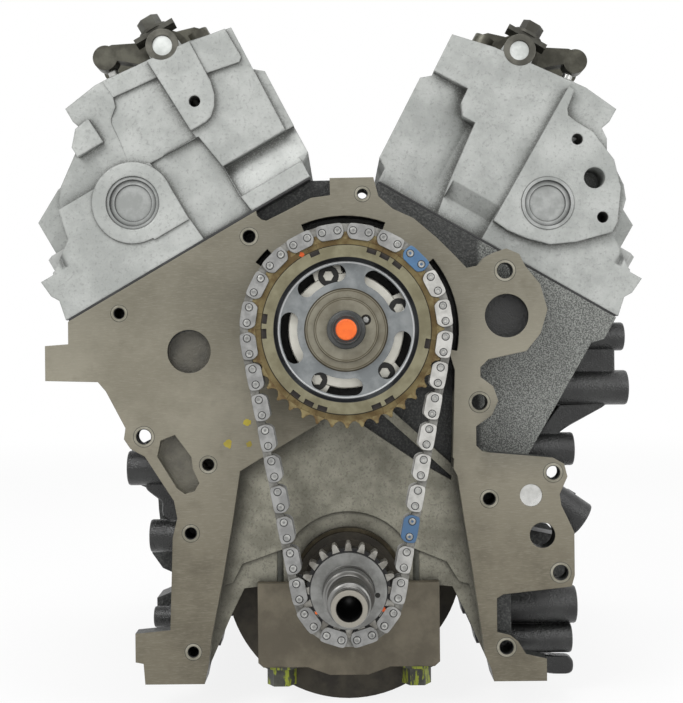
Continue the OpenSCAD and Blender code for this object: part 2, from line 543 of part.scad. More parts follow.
module cylinder_head() {
    difference() {
        union() {
            difference() {
                union() {
                    head_y(0, head_len) polygon(rail);
                    // Intake flange
                    head_y(4, head_len - 4) polygon([[-107, 8], [-116, 14], [-118.5, 72], [-109, 80]]);
                }
                head_y(rail_end, head_len - rail_end) polygon(cavity);
                head_end_cuts();
            }
            head_end_bosses();
            // Rocker shaft pedestals
            for (t = pedestals) along_y(t - pedestal_w / 2, t + pedestal_w / 2)
                polygon([[shaft_v - 15, floor_u - 2], [shaft_v + 15, floor_u - 2], [shaft_v + 10.4, shaft_u - 2],
                    [shaft_v - 10.4, shaft_u - 2]]);
            // Exhaust port bosses
            for (i = [0:2]) along_y(t_cyl(i) - 34, t_cyl(i) + 2) translate([0, head_u])
                polygon([[20, 30], [56, 32], [56, 66], [34, 78], [20, 80]]);
        }
        // Combustion chambers
        for (i = [0:2]) intersection() {
            translate([0, t_cyl(i), deck_u - 1]) cylinder(r = bore / 2 - 1, h = 40);
            valve_axis(t_cyl(i)) translate([-80, -60, -40]) cube([160, 120, 40 + seat_s]);
        }
        // Seat pockets, throats, guides and ports
        for (i = [0:2]) for (q = [0, 1]) {
            t = t_cyl(i) + (q == 0 ? -valve_y : valve_y);
            r = q == 0 ? exhaust_r : intake_r;
            valve_axis(t) {
                translate([0, 0, seat_s - 1]) cylinder(r = r + seat_ring, h = seat_h + 1);
                translate([0, 0, seat_s]) cylinder(r = r - 4, h = 26);
                cylinder(r = guide_r, h = 120);
            }
        }
        for (i = [0:2]) {
            // Intake port from the valley side
            translate([-125, t_cyl(i) + 3, head_u + 26]) cube([80, 24, 42]);
            translate([valve_v - 4, t_cyl(i) + valve_y, deck_u + 30]) rotate([0, -62, 0]) cylinder(r = 14, h = 44);
            // Exhaust port to the outer side
            translate([valve_v - 3, t_cyl(i) - valve_y, deck_u + 28]) rotate([0, 62, 0]) cylinder(r = 12, h = 110);
            // Spark plug hole
            translate([22, t_cyl(i) + 6, deck_u + 4]) rotate([0, 55, 0]) cylinder(r = 6.5, h = 80);
            translate([22, t_cyl(i) + 6, deck_u + 4]) rotate([0, 55, 0]) translate([0, 0, 22]) cylinder(r = 11, h = 80);
        }
        // Pushrod holes
        for (i = [0:2]) for (q = [-1, 1]) translate([cam_v, t_cyl(i) + q * valve_y, cam_u]) rotate([0, lifter_dir, 0])
            cylinder(r = 7.5, h = 205);
        // Rocker shaft seat
        rod_y(shaft_v, shaft_u, shaft_r + seat_gap, -5, head_len + 5);
        for (t = pedestals) translate([shaft_v, t, floor_u - 20]) cylinder(r = 4.2, h = 60);
        // Core plug holes
        head_y(-3, 7) translate(plug_a) circle(r = plug_r);
        head_y(head_len + bracket_t - 8, head_len + bracket_t + 1) translate(plug_b) circle(r = plug_r);
        // Threaded holes of the end pad and of the bracket
        head_y(-6, 18) translate([-70.7, 76.5]) circle(r = 3.6);
        for (h = bracket_holes) head_y(head_len - 18, head_len + bracket_t + 1) translate([h[0], h[1]]) circle(r = h[2]);
        // Head bolt holes
        for (i = [0:3]) for (j = [0, 1])
            translate([head_bolt_v[j], bolt_t(i, j), head_u - 1]) cylinder(r = head_bolt_r + 0.4, h = 140);
        for (i = [0:3]) translate([head_bolt_v[1], bolt_t(i, 1), head_u + 28.5]) cylinder(r = 12, h = 60);
    }
}
guide_r = 6;
seat_ring = 2;
seat_h = 7;
module left_cylinder_head() {
    color(aluminium) head_place(-1) cylinder_head();
}
module right_cylinder_head() {
    color(aluminium) head_place(1) cylinder_head();
}

module head_gaskets() {
    color(dark_steel) for (s = [-1, 1]) bank(s) difference() {
        translate([deck_in + 1, y_head(s), deck_u]) cube([deck_out - deck_in - 2, head_len, gasket_t]);
        for (i = [0:2]) translate([0, y_head(s) + t_cyl(i), deck_u - 1]) cylinder(r = bore / 2 + 1, h = 4, $fn = 96);
        head_bolt_holes(s, deck_u - 1, deck_u + 3, head_bolt_r + 0.4);
        for (i = [0:2]) for (q = [-1, 1]) translate([cam_v, y_head(s) + t_cyl(i) + q * valve_y, cam_u])
            rotate([0, lifter_dir, 0]) cylinder(r = 8, h = 205);
    }
}
module head_bolt(grip, washer_r, hex) {
    translate([0, 0, -50]) cylinder(r = head_bolt_r - seat_gap, h = 50 + gasket_t + grip);
    translate([0, 0, gasket_t + grip + seat_gap]) cylinder(r = washer_r, h = 2.5);
    translate([0, 0, gasket_t + grip + 2.5 + seat_gap]) hex_head(hex, 9);
}
module head_bolts() {
    color(dark_steel) for (s = [-1, 1]) bank(s) for (i = [0:3]) {
        translate([head_bolt_v[0], y_head(s) + bolt_t(i, 0), deck_u]) head_bolt(floor_u - head_u, 8.8, 6.5);
        translate([head_bolt_v[1], y_head(s) + bolt_t(i, 1), deck_u]) head_bolt(28.5, 10.5, 7.5);
    }
}
module plug_cup() {
    difference() {
        rod_y(0, 0, plug_r - seat_gap, 0, 7);
        rod_y(0, 0, plug_r - 2, -1, 2.2);
        rod_y(0, 0, plug_r - 5, 2, 3.2);
    }
}
module core_plugs() {
    color(steel) {
        for (s = [-1, 1]) head_place(s) {
            translate([plug_a[0], -0.5, head_u + plug_a[1]]) plug_cup();
            translate([plug_b[0], head_len + bracket_t + 0.5, head_u + plug_b[1]]) mirror([0, 1, 0]) plug_cup();
        }
    }
}
shaft_end = 2;
module rocker_shafts() {
    color(steel) for (s = [-1, 1]) head_place(s) difference() {
        rod_y(shaft_v, shaft_u, shaft_r, shaft_end, head_len - shaft_end);
        rod_y(shaft_v, shaft_u, 6.5, shaft_end - 1, shaft_end + 1.2);
        rod_y(shaft_v, shaft_u, 6.5, head_len - shaft_end - 1.2, head_len);
        for (t = pedestals) translate([shaft_v, t, shaft_u - 15]) cylinder(r = 4.2, h = 40);
        for (t = pedestals) translate([shaft_v - 20, t - 8, shaft_u + shaft_r - 1.2]) cube([40, 16, 10]);
    }
}
module rocker_shaft_bolts() {
    color(dark_steel) for (s = [-1, 1]) head_place(s) for (t = pedestals) translate([shaft_v, t, 0]) {
        translate([0, 0, floor_u - 18]) cylinder(r = 4, h = shaft_u + shaft_r - 1.2 - floor_u + 18);
        difference() {
            translate([-14, -8, shaft_u + shaft_r - 1.2]) cube([28, 16, 3]);
            translate([0, 0, shaft_u]) cylinder(r = 4, h = 30);
        }
        translate([0, 0, shaft_u + shaft_r + 1.8]) cylinder(r = 9.5, h = 1.8);
        translate([0, 0, shaft_u + shaft_r + 1.8]) hex_head(6.5, 9);
    }
}

// Valve springs as coils of round wire
wire_r = 2.1;
spring_turns = 5;
function ring_pts(c, t, n, r) = let (w = [cos(t), sin(t), 0])
    [for (j = [0:n - 1]) c + w * r * cos(360 * j / n) + [0, 0, 1] * r * sin(360 * j / n)];
module coil(r, h, turns) {
    n = 6;
    steps = turns * 10;
    pts = [for (i = [0:steps]) let (t = 36 * i) each ring_pts(
        [(r - wire_r) * cos(t), (r - wire_r) * sin(t), wire_r + (h - 2 * wire_r) * i / steps], t, n, wire_r)];
    polyhedron(pts, concat([[for (j = [0:n - 1]) n - 1 - j]],
        [for (i = [0:steps - 1]) for (j = [0:n - 1])
            [i * n + j, i * n + (j + 1) % n, (i + 1) * n + (j + 1) % n, (i + 1) * n + j]],
        [[for (j = [0:n - 1]) steps * n + j]]), convexity = 10);
}
retainer_s = valve_len - 9;
spring_s = floor_s_at() + 0.3;
function floor_s_at() = (floor_u - deck_u) / cos(valve_tilt) + 3.2;
module valve_springs() {
    color(dark_steel) for (k = [1:6]) for (intake = [false, true])
        bank(side(k)) valve_axis(y_valve(k, intake)) translate([0, 0, spring_s])
            coil(spring_r, retainer_s - valve_drop(k, intake) - spring_s - 0.3, spring_turns);
}
module lifters() {
    color(steel) for (k = [1:6]) for (intake = [false, true]) {
        c = roller_at(k, intake) + roller_gap;
        lifter_axis(side(k), y_valve(k, intake)) translate([0, 0, c]) {
            rod_y(0, 0, roller_r, -roller_w / 2, roller_w / 2);
            difference() {
                translate([0, 0, -2]) cylinder(r = lifter_r, h = lifter_up + 2);
                translate([-20, -roller_w / 2 - 0.4, -6]) cube([40, roller_w + 0.8, 6 + roller_r + 1]);
                translate([0, 0, lifter_up - 3]) cylinder(r = 6, h = 4);
            }
            rod_y(0, 0, 3, -lifter_r + 1.5, lifter_r - 1.5);
        }
    }
}
module pushrods() {
    color(steel) for (k = [1:6]) for (intake = [false, true]) {
        h = roller_at(k, intake) + roller_gap + lifter_up - 3;
        p0 = [cam_v + h * sin(lifter_dir), cam_u + h * cos(lifter_dir)];
        p1 = socket_at(rocker_turn(k, intake));
        len = norm(p1 - p0);
        bank(side(k)) translate([p0[0], y_valve(k, intake), p0[1]])
            rotate([0, atan2(p1[0] - p0[0], p1[1] - p0[1]), 0]) {
                translate([0, 0, ball_r - 0.2]) cylinder(r = 4, h = len - ball_r + 0.2);
                intersection() {
                    translate([0, 0, ball_r]) sphere(ball_r);
                    translate([-9, -9, 0.05]) cube([18, 18, 9]);
                }
                translate([0, 0, len]) sphere(ball_r);
            }
    }
}
// Height of the seat cone, which slopes at 45 degrees, and the room a closed valve has in it
seat_cone = 4;
seat_clear = 0.15;
module valve_guides_and_seats() {
    for (s = [-1, 1]) head_place(s) for (i = [0:2]) for (q = [0, 1]) {
        r = q == 0 ? exhaust_r : intake_r;
        valve_axis(t_cyl(i) + (q == 0 ? -valve_y : valve_y)) {
            color(bronze) translate([0, 0, 44]) difference() {
                cylinder(r = guide_r - seat_gap, h = 52);
                translate([0, 0, -1]) cylinder(r = stem_r + slide_gap, h = 60);
            }
            color(dark_steel) difference() {
                translate([0, 0, seat_s]) cylinder(r = r + seat_ring - seat_gap, h = seat_h);
                translate([0, 0, seat_s - 1]) cylinder(r = r - seat_cone + seat_clear, h = seat_h + 3);
                translate([0, 0, seat_s - 0.01]) cylinder(r1 = r + seat_clear, r2 = r - seat_cone + seat_clear, h = seat_cone + 0.01);
                translate([0, 0, seat_s - 1]) cylinder(r = r + seat_clear, h = 1);
            }
        }
    }
}
module cam_thrust_plate() {
    color(dark_steel) difference() {
        union() {
            along_y(y_front + recess_d - 5, y_front + recess_d) translate([0, cam_z]) {
                circle(r = 33);
                for (a = plate_screws) rotate(-a) translate([-9, 0]) square([18, plate_r + 7]);
            }
        }
        rod_y(0, cam_z, 16.4, y_front - 10, y_front + recess_d + 1);
        for (a = plate_screws) rod_y(plate_r * sin(a), cam_z + plate_r * cos(a), 3 + seat_gap, y_front, y_front + 20);
    }
    color(dark_steel) for (a = plate_screws) difference() {
        union() {
            rod_y(plate_r * sin(a), cam_z + plate_r * cos(a), 6.5, y_front + recess_d - 8, y_front + recess_d - 5 - seat_gap);
            rod_y(plate_r * sin(a), cam_z + plate_r * cos(a), 3, y_front + recess_d - 6, y_front + recess_d + 8);
        }
        translate([plate_r * sin(a), y_front + recess_d - 6, cam_z + plate_r * cos(a)])
            rotate([90, 0, 0]) cylinder(r = 3.4, h = 6, $fn = 6);
    }
}
plate_r = 36;

// Chain geometry: both wraps and both straight strands are walked pitch by pitch
link_half = chain_pitch / 2;
wrap_tilt = asin((cam_pitch_r - crank_pitch_r) / cam_z);
strand = sqrt(pow(cam_z, 2) - pow(cam_pitch_r - crank_pitch_r, 2));
arc_cam = (180 + 2 * wrap_tilt) * PI / 180 * cam_pitch_r;
arc_crank = (180 - 2 * wrap_tilt) * PI / 180 * crank_pitch_r;
chain_len = arc_cam + arc_crank + 2 * strand;
links = 2 * round(chain_len / chain_pitch / 2);
// Point on the chain line, at distance d clockwise from the top of the cam sprocket
function chain_pt(d0) = let (d = d0 < 0 ? d0 + chain_len : d0 >= chain_len ? d0 - chain_len : d0,
    a1 = arc_cam / 2, b1 = a1 + strand, c1 = b1 + arc_crank, e1 = c1 + strand)
    d < a1 ? [cam_pitch_r * sin(d / cam_pitch_r * 180 / PI), cam_z + cam_pitch_r * cos(d / cam_pitch_r * 180 / PI)]
    : d < b1 ? let (a = 90 + wrap_tilt, f = (d - a1) / strand)
        [cam_pitch_r * sin(a) * (1 - f) + crank_pitch_r * sin(a) * f,
            (cam_z + cam_pitch_r * cos(a)) * (1 - f) + crank_pitch_r * cos(a) * f]
    : d < c1 ? let (a = 90 + wrap_tilt + (d - b1) / crank_pitch_r * 180 / PI)
        [crank_pitch_r * sin(a), crank_pitch_r * cos(a)]
    : d < e1 ? let (a = 270 - wrap_tilt, f = (d - c1) / strand)
        [crank_pitch_r * sin(a) * (1 - f) + cam_pitch_r * sin(a) * f,
            crank_pitch_r * cos(a) * (1 - f) + (cam_z + cam_pitch_r * cos(a)) * f]
    : let (a = (d - chain_len) / cam_pitch_r * 180 / PI) [cam_pitch_r * sin(a), cam_z + cam_pitch_r * cos(a)];
function pin_pt(i) = chain_pt(chain_len * (i + 0.5) / links);
link_pin_r = 1.6;
plate_out = 3.7;
plate_in = 5.3;
plate_end = 3.9;
// Guide plate: rounded outside, longer towards the sprocket and cut off at its inner corners
module guide_plate() {
    difference() {
        polygon([[-link_half - plate_end, plate_out - 2.6], [-link_half - plate_end + 0.8, plate_out - 0.9],
            [-link_half - 1.2, plate_out], [link_half + 1.2, plate_out],
            [link_half + plate_end - 0.8, plate_out - 0.9], [link_half + plate_end, plate_out - 2.6],
            [link_half + plate_end, -plate_in + 3], [link_half + 1.6, -plate_in],
            [-link_half - 1.6, -plate_in], [-link_half - plate_end, -plate_in + 3]]);
        for (x = [-link_half, link_half]) translate([x, 0]) circle(r = link_pin_r + 0.05, $fn = 16);
    }
}
// Toothed plate: an arched back over two teeth
module toothed_plate() {
    difference() {
        union() {
            for (x = [-link_half, link_half]) translate([x, 0]) circle(r = plate_end, $fn = 24);
            translate([-link_half, -0.8]) square([chain_pitch, plate_out + 0.8]);
            for (x = [-link_half, link_half]) translate([x - 1.5, -4]) square([3, 4]);
        }
        for (x = [-link_half, link_half]) translate([x, 0]) circle(r = link_pin_r + 0.05, $fn = 16);
        translate([-link_half + 1.5, -6]) square([chain_pitch - 3, 5.2]);
        for (x = [-link_half, link_half]) translate([x + (x > 0 ? 1.5 : -5), -6]) square([3.5, 5.2]);
    }
}
module timing_chain() {
    color(steel) for (i = [0:links - 1]) {
        p = pin_pt(i);
        q = pin_pt((i + 1) % links);
        m = (p + q) / 2;
        translate([m[0], y_chain, m[1]]) rotate([0, atan2(-(q[1] - p[1]), q[0] - p[0]), 0]) {
            if (i % 2 == 0) {
                for (y = [-7, 5.75]) along_y(y, y + 1.25) guide_plate();
                along_y(-1.4, 1.4) toothed_plate();
            } else for (y = [-5.5, 1.5]) along_y(y, y + 4) toothed_plate();
        }
        rod_y(p[0], p[1], link_pin_r, y_chain - 7.4, y_chain + 7.4);
    }
}
module sprocket_teeth(n, r) {
    circle(r = r - tooth_root_in, $fn = 96);
    for (i = [0:n - 1]) rotate(360 * i / n)
        polygon([[-tooth_root_half, r - tooth_root_in - 1], [tooth_root_half, r - tooth_root_in - 1],
            [tooth_tip_half, r - tooth_tip_in], [-tooth_tip_half, r - tooth_tip_in]]);
}
module crank_sprocket() {
    color(dark_steel) difference() {
        union() {
            along_y(y_chain - tooth_w / 2, y_chain + tooth_w / 2) rotate(crank_tooth_turn())
                sprocket_teeth(crank_teeth, crank_pitch_r);
            rod_y(0, 0, 23.4, y_chain - tooth_w / 2 - 3, y_chain + tooth_w / 2 + 4);
        }
        rod_y(0, 0, sprocket_seat_r + seat_gap, y_chain - 20, y_chain + 20);
    }
}
// Turn of the crankshaft sprocket that puts a tooth in the middle of a link
function crank_tooth_turn() = let (m = [for (i = [0:links - 1]) let (p = pin_pt(i), q = pin_pt((i + 1) % links))
    if (max(p[1], q[1]) < 0) (p + q) / 2]) -atan2(m[3][0], m[3][1]);
snout_r = 15.5;
sprocket_seat_r = 16.2;
snout_flat = 1;
// Length of the two flats, from the front end back
snout_flat_len = 22;

module cam_sprocket() {
    color(bronze) difference() {
        union() {
            along_y(y_chain - tooth_w / 2, y_chain + tooth_w / 2) translate([0, cam_z])
                sprocket_teeth(cam_teeth, cam_pitch_r);
            rod_y(0, cam_z, ring_r, y_chain - tooth_w / 2 - 3.5, y_chain);
        }
        // Notches of the timing ring
        for (a = ring_notches) along_y(y_chain - tooth_w / 2 - 5, y_chain - tooth_w / 2 + 0.5) translate([0, cam_z])
            rotate(a) translate([ring_r - 3, -3]) square([8, 6]);
        // Dish and rear recess
        translate([0, y_chain - tooth_w / 2 - 4, cam_z]) rotate([-90, 0, 0]) cylinder(r1 = 44.3, r2 = 41.6, h = 8);
        translate([0, y_chain + tooth_w / 2 + 1, cam_z]) rotate([90, 0, 0]) cylinder(r = 44, h = 6);
        // Kidney windows
        for (i = [0:4]) along_y(y_chain - 20, y_chain + 20) translate([0, cam_z]) rotate(window_turn + 72 * i)
            kidney(window_r0, window_r1, 17.5);
        rod_y(0, cam_z, cam_bolt_r + 0.3, y_chain - 20, y_chain + 20);
        rod_y(12, cam_z + 6, 2.3, y_chain - 20, y_chain + 20);
    }
    color(bronze) difference() {
        union() {
            rod_y(0, cam_z, 24.7, y_chain - 4.5, y_chain + tooth_w / 2 + cam_hub_back);
            rod_y(0, cam_z, 19.6, y_chain - 6.5, y_chain);
        }
        rod_y(0, cam_z, cam_bolt_r + 0.3, y_chain - 20, y_chain + 20);
        rod_y(12, cam_z + 6, 2.3, y_chain - 20, y_chain + 20);
    }
}
ring_r = 51.5;
window_r0 = 30;
window_r1 = 40.4;
window_turn = 44;
ring_notches = [112, 51.4, 61.8, 71.5, -10.3, -58.8, -68.9, -107.5, -117.6, -128.6, 171.9, 182.3];
cam_bolt_r = 6;
cam_hub_back = 2;
module kidney(r0, r1, half) {
    rm = (r0 + r1) / 2;
    w = (r1 - r0) / 2;
    difference() {
        circle(r = r1);
        circle(r = r0);
        rotate(half) translate([-2 * r1, 0]) square([4 * r1, 2 * r1]);
        rotate(-half) translate([-2 * r1, -2 * r1]) square([4 * r1, 2 * r1]);
        rotate(180) translate([0, -r1 * 2]) square([2 * r1, 4 * r1]);
    }
    // The ends stand a touch proud of the arcs, so that they cross them instead of only touching
    for (a = [-half, half]) rotate(a) translate([rm, 0]) circle(w + 0.1);
}
module cam_sprocket_bolt() {
    color("orange") {
        rod_y(0, cam_z, cam_bolt_r, y_chain - 6.5, y_front + 20);
        rod_y(0, cam_z, 11.3, y_chain - 8.5, y_chain - 6.5);
        translate([0, y_chain - 8.5, cam_z]) rotate([90, 0, 0]) hex_head(8, 9);
    }
}
module front_dowel_pins() {
    color(steel) {
        rod_y(cover_dowel[0], cover_dowel[1], cover_dowel[2], y_front + 0.3, y_front + face_t + 1);
    }
}
module rear_seal_housing() {
    color(aluminium) along_y(y_rear - 14, y_rear - 6) difference() {
        circle(r = 50 - seat_gap, $fn = 96);
        circle(r = 44 + seat_gap, $fn = 96);
    }
    color(black) along_y(y_rear - 14, y_rear - 6) difference() {
        circle(r = 44, $fn = 96);
        circle(r = 40.3, $fn = 96);
    }
}

module crank_web(y0, y1, pins) {
    along_y(y0, y1) difference() {
        union() {
            circle(r = main_r + 6);
            for (p = pins) polygon([for (q = [[-30, 0], [30, 0], [26, crank_r + 14], [12, crank_r + pin_r - 2],
                [-12, crank_r + pin_r - 2], [-26, crank_r + 14]]) turn(q, p)]);
            mean = len(pins) > 1 ? (pins[0] + pins[1]) / 2 : pins[0];
            intersection() {
                circle(r = weight_r, $fn = 96);
                polygon([for (q = [[-28, 10], [28, 10], [weight_r, -38], [weight_r, -weight_r], [-weight_r, -weight_r],
                    [-weight_r, -38]]) turn(q, mean)]);
            }
        }
    }
}
module crankshaft() {
    web_gap = 0.3;
    color(steel) difference() {
        union() {
            for (i = [0:3]) rod_y(0, 0, main_r, y_main(i) - 13, y_main(i) + 13);
            for (i = [0:2]) {
                ka = 2 * i + 1;
                kb = 2 * i + 2;
                for (k = [ka, kb]) let (a = pin_angle(k))
                    rod_y(crank_r * sin(a), crank_r * cos(a), pin_r, y_cyl(k) - rod_w / 2 - web_gap - 0.1,
                        y_cyl(k) + rod_w / 2 + web_gap + 0.1);
                crank_web(y_main(i) + 13, y_cyl(ka) - rod_w / 2 - web_gap, [pin_angle(ka)]);
                crank_web(y_cyl(kb) + rod_w / 2 + web_gap, y_main(i + 1) - 13, [pin_angle(kb)]);
                along_y(y_cyl(ka) + rod_w / 2 + web_gap, y_cyl(kb) - rod_w / 2 - web_gap) {
                    intersection() {
                        polygon([for (q = [[-30, -8], [30, -8], [30, crank_r + 12], [14, crank_r + 27], [-14, crank_r + 27],
                            [-30, crank_r + 12]]) turn(q, pin_angle(ka))]);
                        circle(r = 72);
                    }
                    polygon([for (q = [[-30, -8], [30, -8], [30, crank_r + 12], [14, crank_r + 27], [-14, crank_r + 27],
                        [-30, crank_r + 12]]) turn(q, pin_angle(kb))]);
                }
            }
            rod_y(0, 0, 40, y_main(3) + 12, 0);
            rod_y(0, 0, main_r - 4, y_front - 0.5, y_main(0) - 12);
            rod_y(0, 0, snout_r, y_chain - 62, y_front);
            rod_y(0, 0, sprocket_seat_r, y_chain - tooth_w / 2 - 3.1, y_front);
            rod_y(0, 0, 12.5, y_chain - 66, y_chain - 60);
        }
        rod_y(0, 0, 7, y_chain - 70, y_chain - 30);
        rod_y(0, 0, 12, -14, 1);
        for (i = [0:7]) rod_y(31 * sin(45 * i + 22.5), 31 * cos(45 * i + 22.5), 4.6, -16, 1);
        for (s = [-1, 1]) translate([s > 0 ? snout_r - snout_flat : -snout_r - 10 + snout_flat, y_chain - 70, -20])
            cube([10, snout_flat_len, 40]);
    }
}
// End play of the camshaft behind its thrust plate
cam_end_play = 0.15;
module camshaft() {
    color(dark_steel) difference() {
        union() {
            rod_y(0, cam_z, 13, y_front + recess_d, y_main(3) + 12);
            rod_y(0, cam_z, 15.9, y_chain + tooth_w / 2 + cam_hub_back, y_front + recess_d + 0.3);
            for (i = [0:3]) rod_y(0, cam_z, cam_journal_r,
                i == 0 ? y_front + recess_d + cam_end_play : y_main(i) - cam_journal_half, y_main(i) + cam_journal_half);
            for (k = [1:6]) for (intake = [false, true]) {
                a = lobe_offset(k, intake) + side(k) * (bank_tilt + lifter_dir);
                along_y(y_valve(k, intake) - lobe_w / 2, y_valve(k, intake) + lobe_w / 2) translate([0, cam_z])
                    polygon([for (b = [0:5:355]) let (c = b > 180 ? b - 360 : b)
                        lobe_radius(c) * [sin(a + c), cos(a + c)]]);
            }
        }
        rod_y(0, cam_z, cam_bolt_r, y_chain - 20, y_front + 21);
    }
}
module piston(k) {
    ring = [[-5, 1.5], [-11, 1.5], [-17.5, 3]];
    color(aluminium) bank(side(k)) translate([0, y_cyl(k), pin_at_rest(k)]) difference() {
        translate([0, 0, -26]) cylinder(r = bore / 2 - 0.05, h = 26 + pin_to_crown, $fn = 96);
        translate([0, 0, -27]) cylinder(r = bore / 2 - 6, h = 27 + pin_to_crown - 22, $fn = 96);
        // Room for the small end of the rod
        translate([0, 0, -27]) cylinder(r = 27, h = 27 + pin_to_crown - 17.5);
        for (q = [-1, 1]) translate([-60, q > 0 ? 39 : -39 - 30, -40]) cube([120, 30, 40 + pin_to_crown - 22]);
        for (g = ring) translate([0, 0, pin_to_crown + g[0] - g[1]]) difference() {
            cylinder(r = bore, h = g[1] + 0.1);
            translate([0, 0, -1]) cylinder(r = bore / 2 - 4.5, h = 8, $fn = 96);
        }
        rod_y(0, 0, wrist_r + link_gap, -60, 60);
    }
    color(aluminium) bank(side(k)) translate([0, y_cyl(k), pin_at_rest(k)]) for (q = [-1, 1]) difference() {
        along_y(q > 0 ? 15 : -39, q > 0 ? 39 : -15) polygon([[-18, -10], [-10, -18], [10, -18], [18, -10],
            [20, pin_to_crown - 17], [-20, pin_to_crown - 17]]);
        rod_y(0, 0, wrist_r + link_gap, -60, 60);
    }
    color(dark_steel) bank(side(k)) translate([0, y_cyl(k), pin_at_rest(k) + pin_to_crown]) for (g = ring)
        translate([0, 0, g[0] - g[1] + 0.05]) difference() {
            cylinder(r = bore / 2 - 0.02, h = g[1] - 0.05, $fn = 96);
            translate([0, 0, -1]) cylinder(r = bore / 2 - 4, h = 8, $fn = 96);
        }
}
rod_shell_t = 1.8;
module connecting_rod(k) {
    a = pin_angle(k);
    eye = 17;
    house = pin_r + rod_shell_t;
    translate([crank_r * sin(a), y_cyl(k), crank_r * cos(a)]) rotate([0, bank_angle(k) - lean_at_rest(k), 0]) {
        // Rod
        color(dark_steel) difference() {
            union() {
                rod_y(0, rod_len, eye, -12, 12);
                along_y(-rod_w / 2, rod_w / 2) difference() {
                    union() {
                        circle(r = house + 5.5);
                        translate([-40, 0]) square([80, 13]);
                    }
                    translate([-60, -60]) square([120, 60]);
                }
                along_y(-8, 8) polygon([[-15, 30], [15, 30], [11, rod_len - 12], [-11, rod_len - 12]]);
            }
            rod_y(0, 0, house, -20, 20);
            rod_y(0, rod_len, wrist_r + seat_gap, -20, 20);
            for (q = [-1, 1]) along_y(q > 0 ? 4 : -9, q > 0 ? 9 : -4)
                polygon([[-9, 44], [9, 44], [6, rod_len - 20], [-6, rod_len - 20]]);
            for (x = [-35.6, 35.6]) translate([x, 0, -1]) cylinder(r = 4 + seat_gap, h = 20);
        }
        // Cap
        color(dark_steel) difference() {
            along_y(-rod_w / 2, rod_w / 2) difference() {
                union() {
                    circle(r = house + 6);
                    translate([-40, -17]) square([80, 17]);
                }
                translate([-60, -seat_gap]) square([120, 60]);
            }
            rod_y(0, 0, house, -20, 20);
            for (x = [-35.6, 35.6]) translate([x, 0, -30]) cylinder(r = 4 + seat_gap, h = 31);
        }
        // Bolts
        color(steel) for (x = [-35.6, 35.6]) translate([x, 0, 0]) {
            translate([0, 0, -18]) cylinder(r = 4, h = 30);
            translate([0, 0, -23 - seat_gap]) hex_head(5, 6);
        }
        // Bearing shells
        color(bronze) {
            half_shell(pin_r + oil_gap, house - seat_gap, -9, 9, true);
            half_shell(pin_r + oil_gap, house - seat_gap, -9, 9, false);
        }
        // Piston pin
        color(steel) translate([0, 0, rod_len]) difference() {
            rod_y(0, 0, wrist_r, -36, 36);
            rod_y(0, 0, wrist_r - 4, -37, 37);
        }
    }
}
// Rocker arms 1 to 12: two for each cylinder, exhaust first
function rocker_cyl(n) = floor((n + 1) / 2);
function rocker_intake(n) = n % 2 == 0;
rocker_w = 20;
module rocker_arm(n) {
    k = rocker_cyl(n);
    intake = rocker_intake(n);
    color(dark_steel) bank(side(k)) translate([shaft_v, y_valve(k, intake), shaft_u])
        rotate([0, rocker_turn(k, intake), 0]) difference() {
            union() {
                rod_y(0, 0, 15.5, -rocker_w / 2, rocker_w / 2);
                along_y(-7, 7) polygon([[6, 13], [28, nose_u + 5], [nose_v, nose_u + 6], [nose_v + 5, nose_u + 2],
                    [nose_v + 5, nose_u - 3], [nose_v - 5, nose_u - 5], [24, 8.5], [18, 3], [11, -9]]);
                rod_y(nose_v, nose_u, nose_r, -7, 7);
                along_y(-6, 6) polygon([[-4, 13], [-24, 7], [-30, 1], [-30, -8], [-16, -8], [-11, -8]]);
                translate([socket_v, 0, socket_u + 0.2]) cylinder(r = 8, h = 13);
            }
            rod_y(0, 0, shaft_r + slide_gap, -20, 20);
            translate([socket_v, 0, socket_u]) sphere(r = ball_r + 0.05);
            // Mouth of the socket, open along the way that the ball leaves it as the arm turns
            translate([socket_v, 0, socket_u]) rotate([0, atan2(-socket_u, socket_v), 0])
                cylinder(r1 = ball_r + 0.12, r2 = ball_r + 1, h = 8);
        }
}
module valve(n) {
    k = rocker_cyl(n);
    intake = rocker_intake(n);
    r = intake ? intake_r : exhaust_r;
    bank(side(k)) valve_axis(y_valve(k, intake)) translate([0, 0, -valve_drop(k, intake)]) {
        color(steel) rotate_extrude() polygon([[0, seat_s], [r, seat_s], [r, seat_s + 0.05], [r - 3.9, seat_s + 3.95],
            [stem_r + 3, seat_s + 8], [stem_r, seat_s + 18], [stem_r, valve_len - 8.2], [0, valve_len - 8.2]]);
        color(steel) rotate_extrude() polygon([[0, valve_len - 8.2], [stem_r, valve_len - 8.2], [stem_r, valve_len - 1],
            [stem_r - 0.7, valve_len], [0, valve_len]]);
        color(dark_steel) translate([0, 0, retainer_s]) rotate_extrude() polygon([[stem_r, -4], [8, -4], [8.4, 0],
            [spring_r - 0.5, 0], [spring_r - 0.5, 2], [8, 4], [stem_r, 4]]);
    }
}

cylinder_block();
main_bearing_caps();
main_cap_bolts();
engine_bearings();
left_cylinder_head();
right_cylinder_head();
head_gaskets();
head_bolts();
core_plugs();
rocker_shafts();
rocker_shaft_bolts();
valve_springs();
lifters();
pushrods();
cam_thrust_plate();
timing_chain();
front_dowel_pins();
rear_seal_housing();
valve_guides_and_seats();
crankshaft();
crank_sprocket();
camshaft();
cam_sprocket();
cam_sprocket_bolt();
for (k = [1:6]) piston(k);
for (k = [1:6]) connecting_rod(k);
for (n = [1:12]) rocker_arm(n);
for (n = [1:12]) valve(n);
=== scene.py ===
# Looks of the long block engine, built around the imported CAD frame.
import math
import random

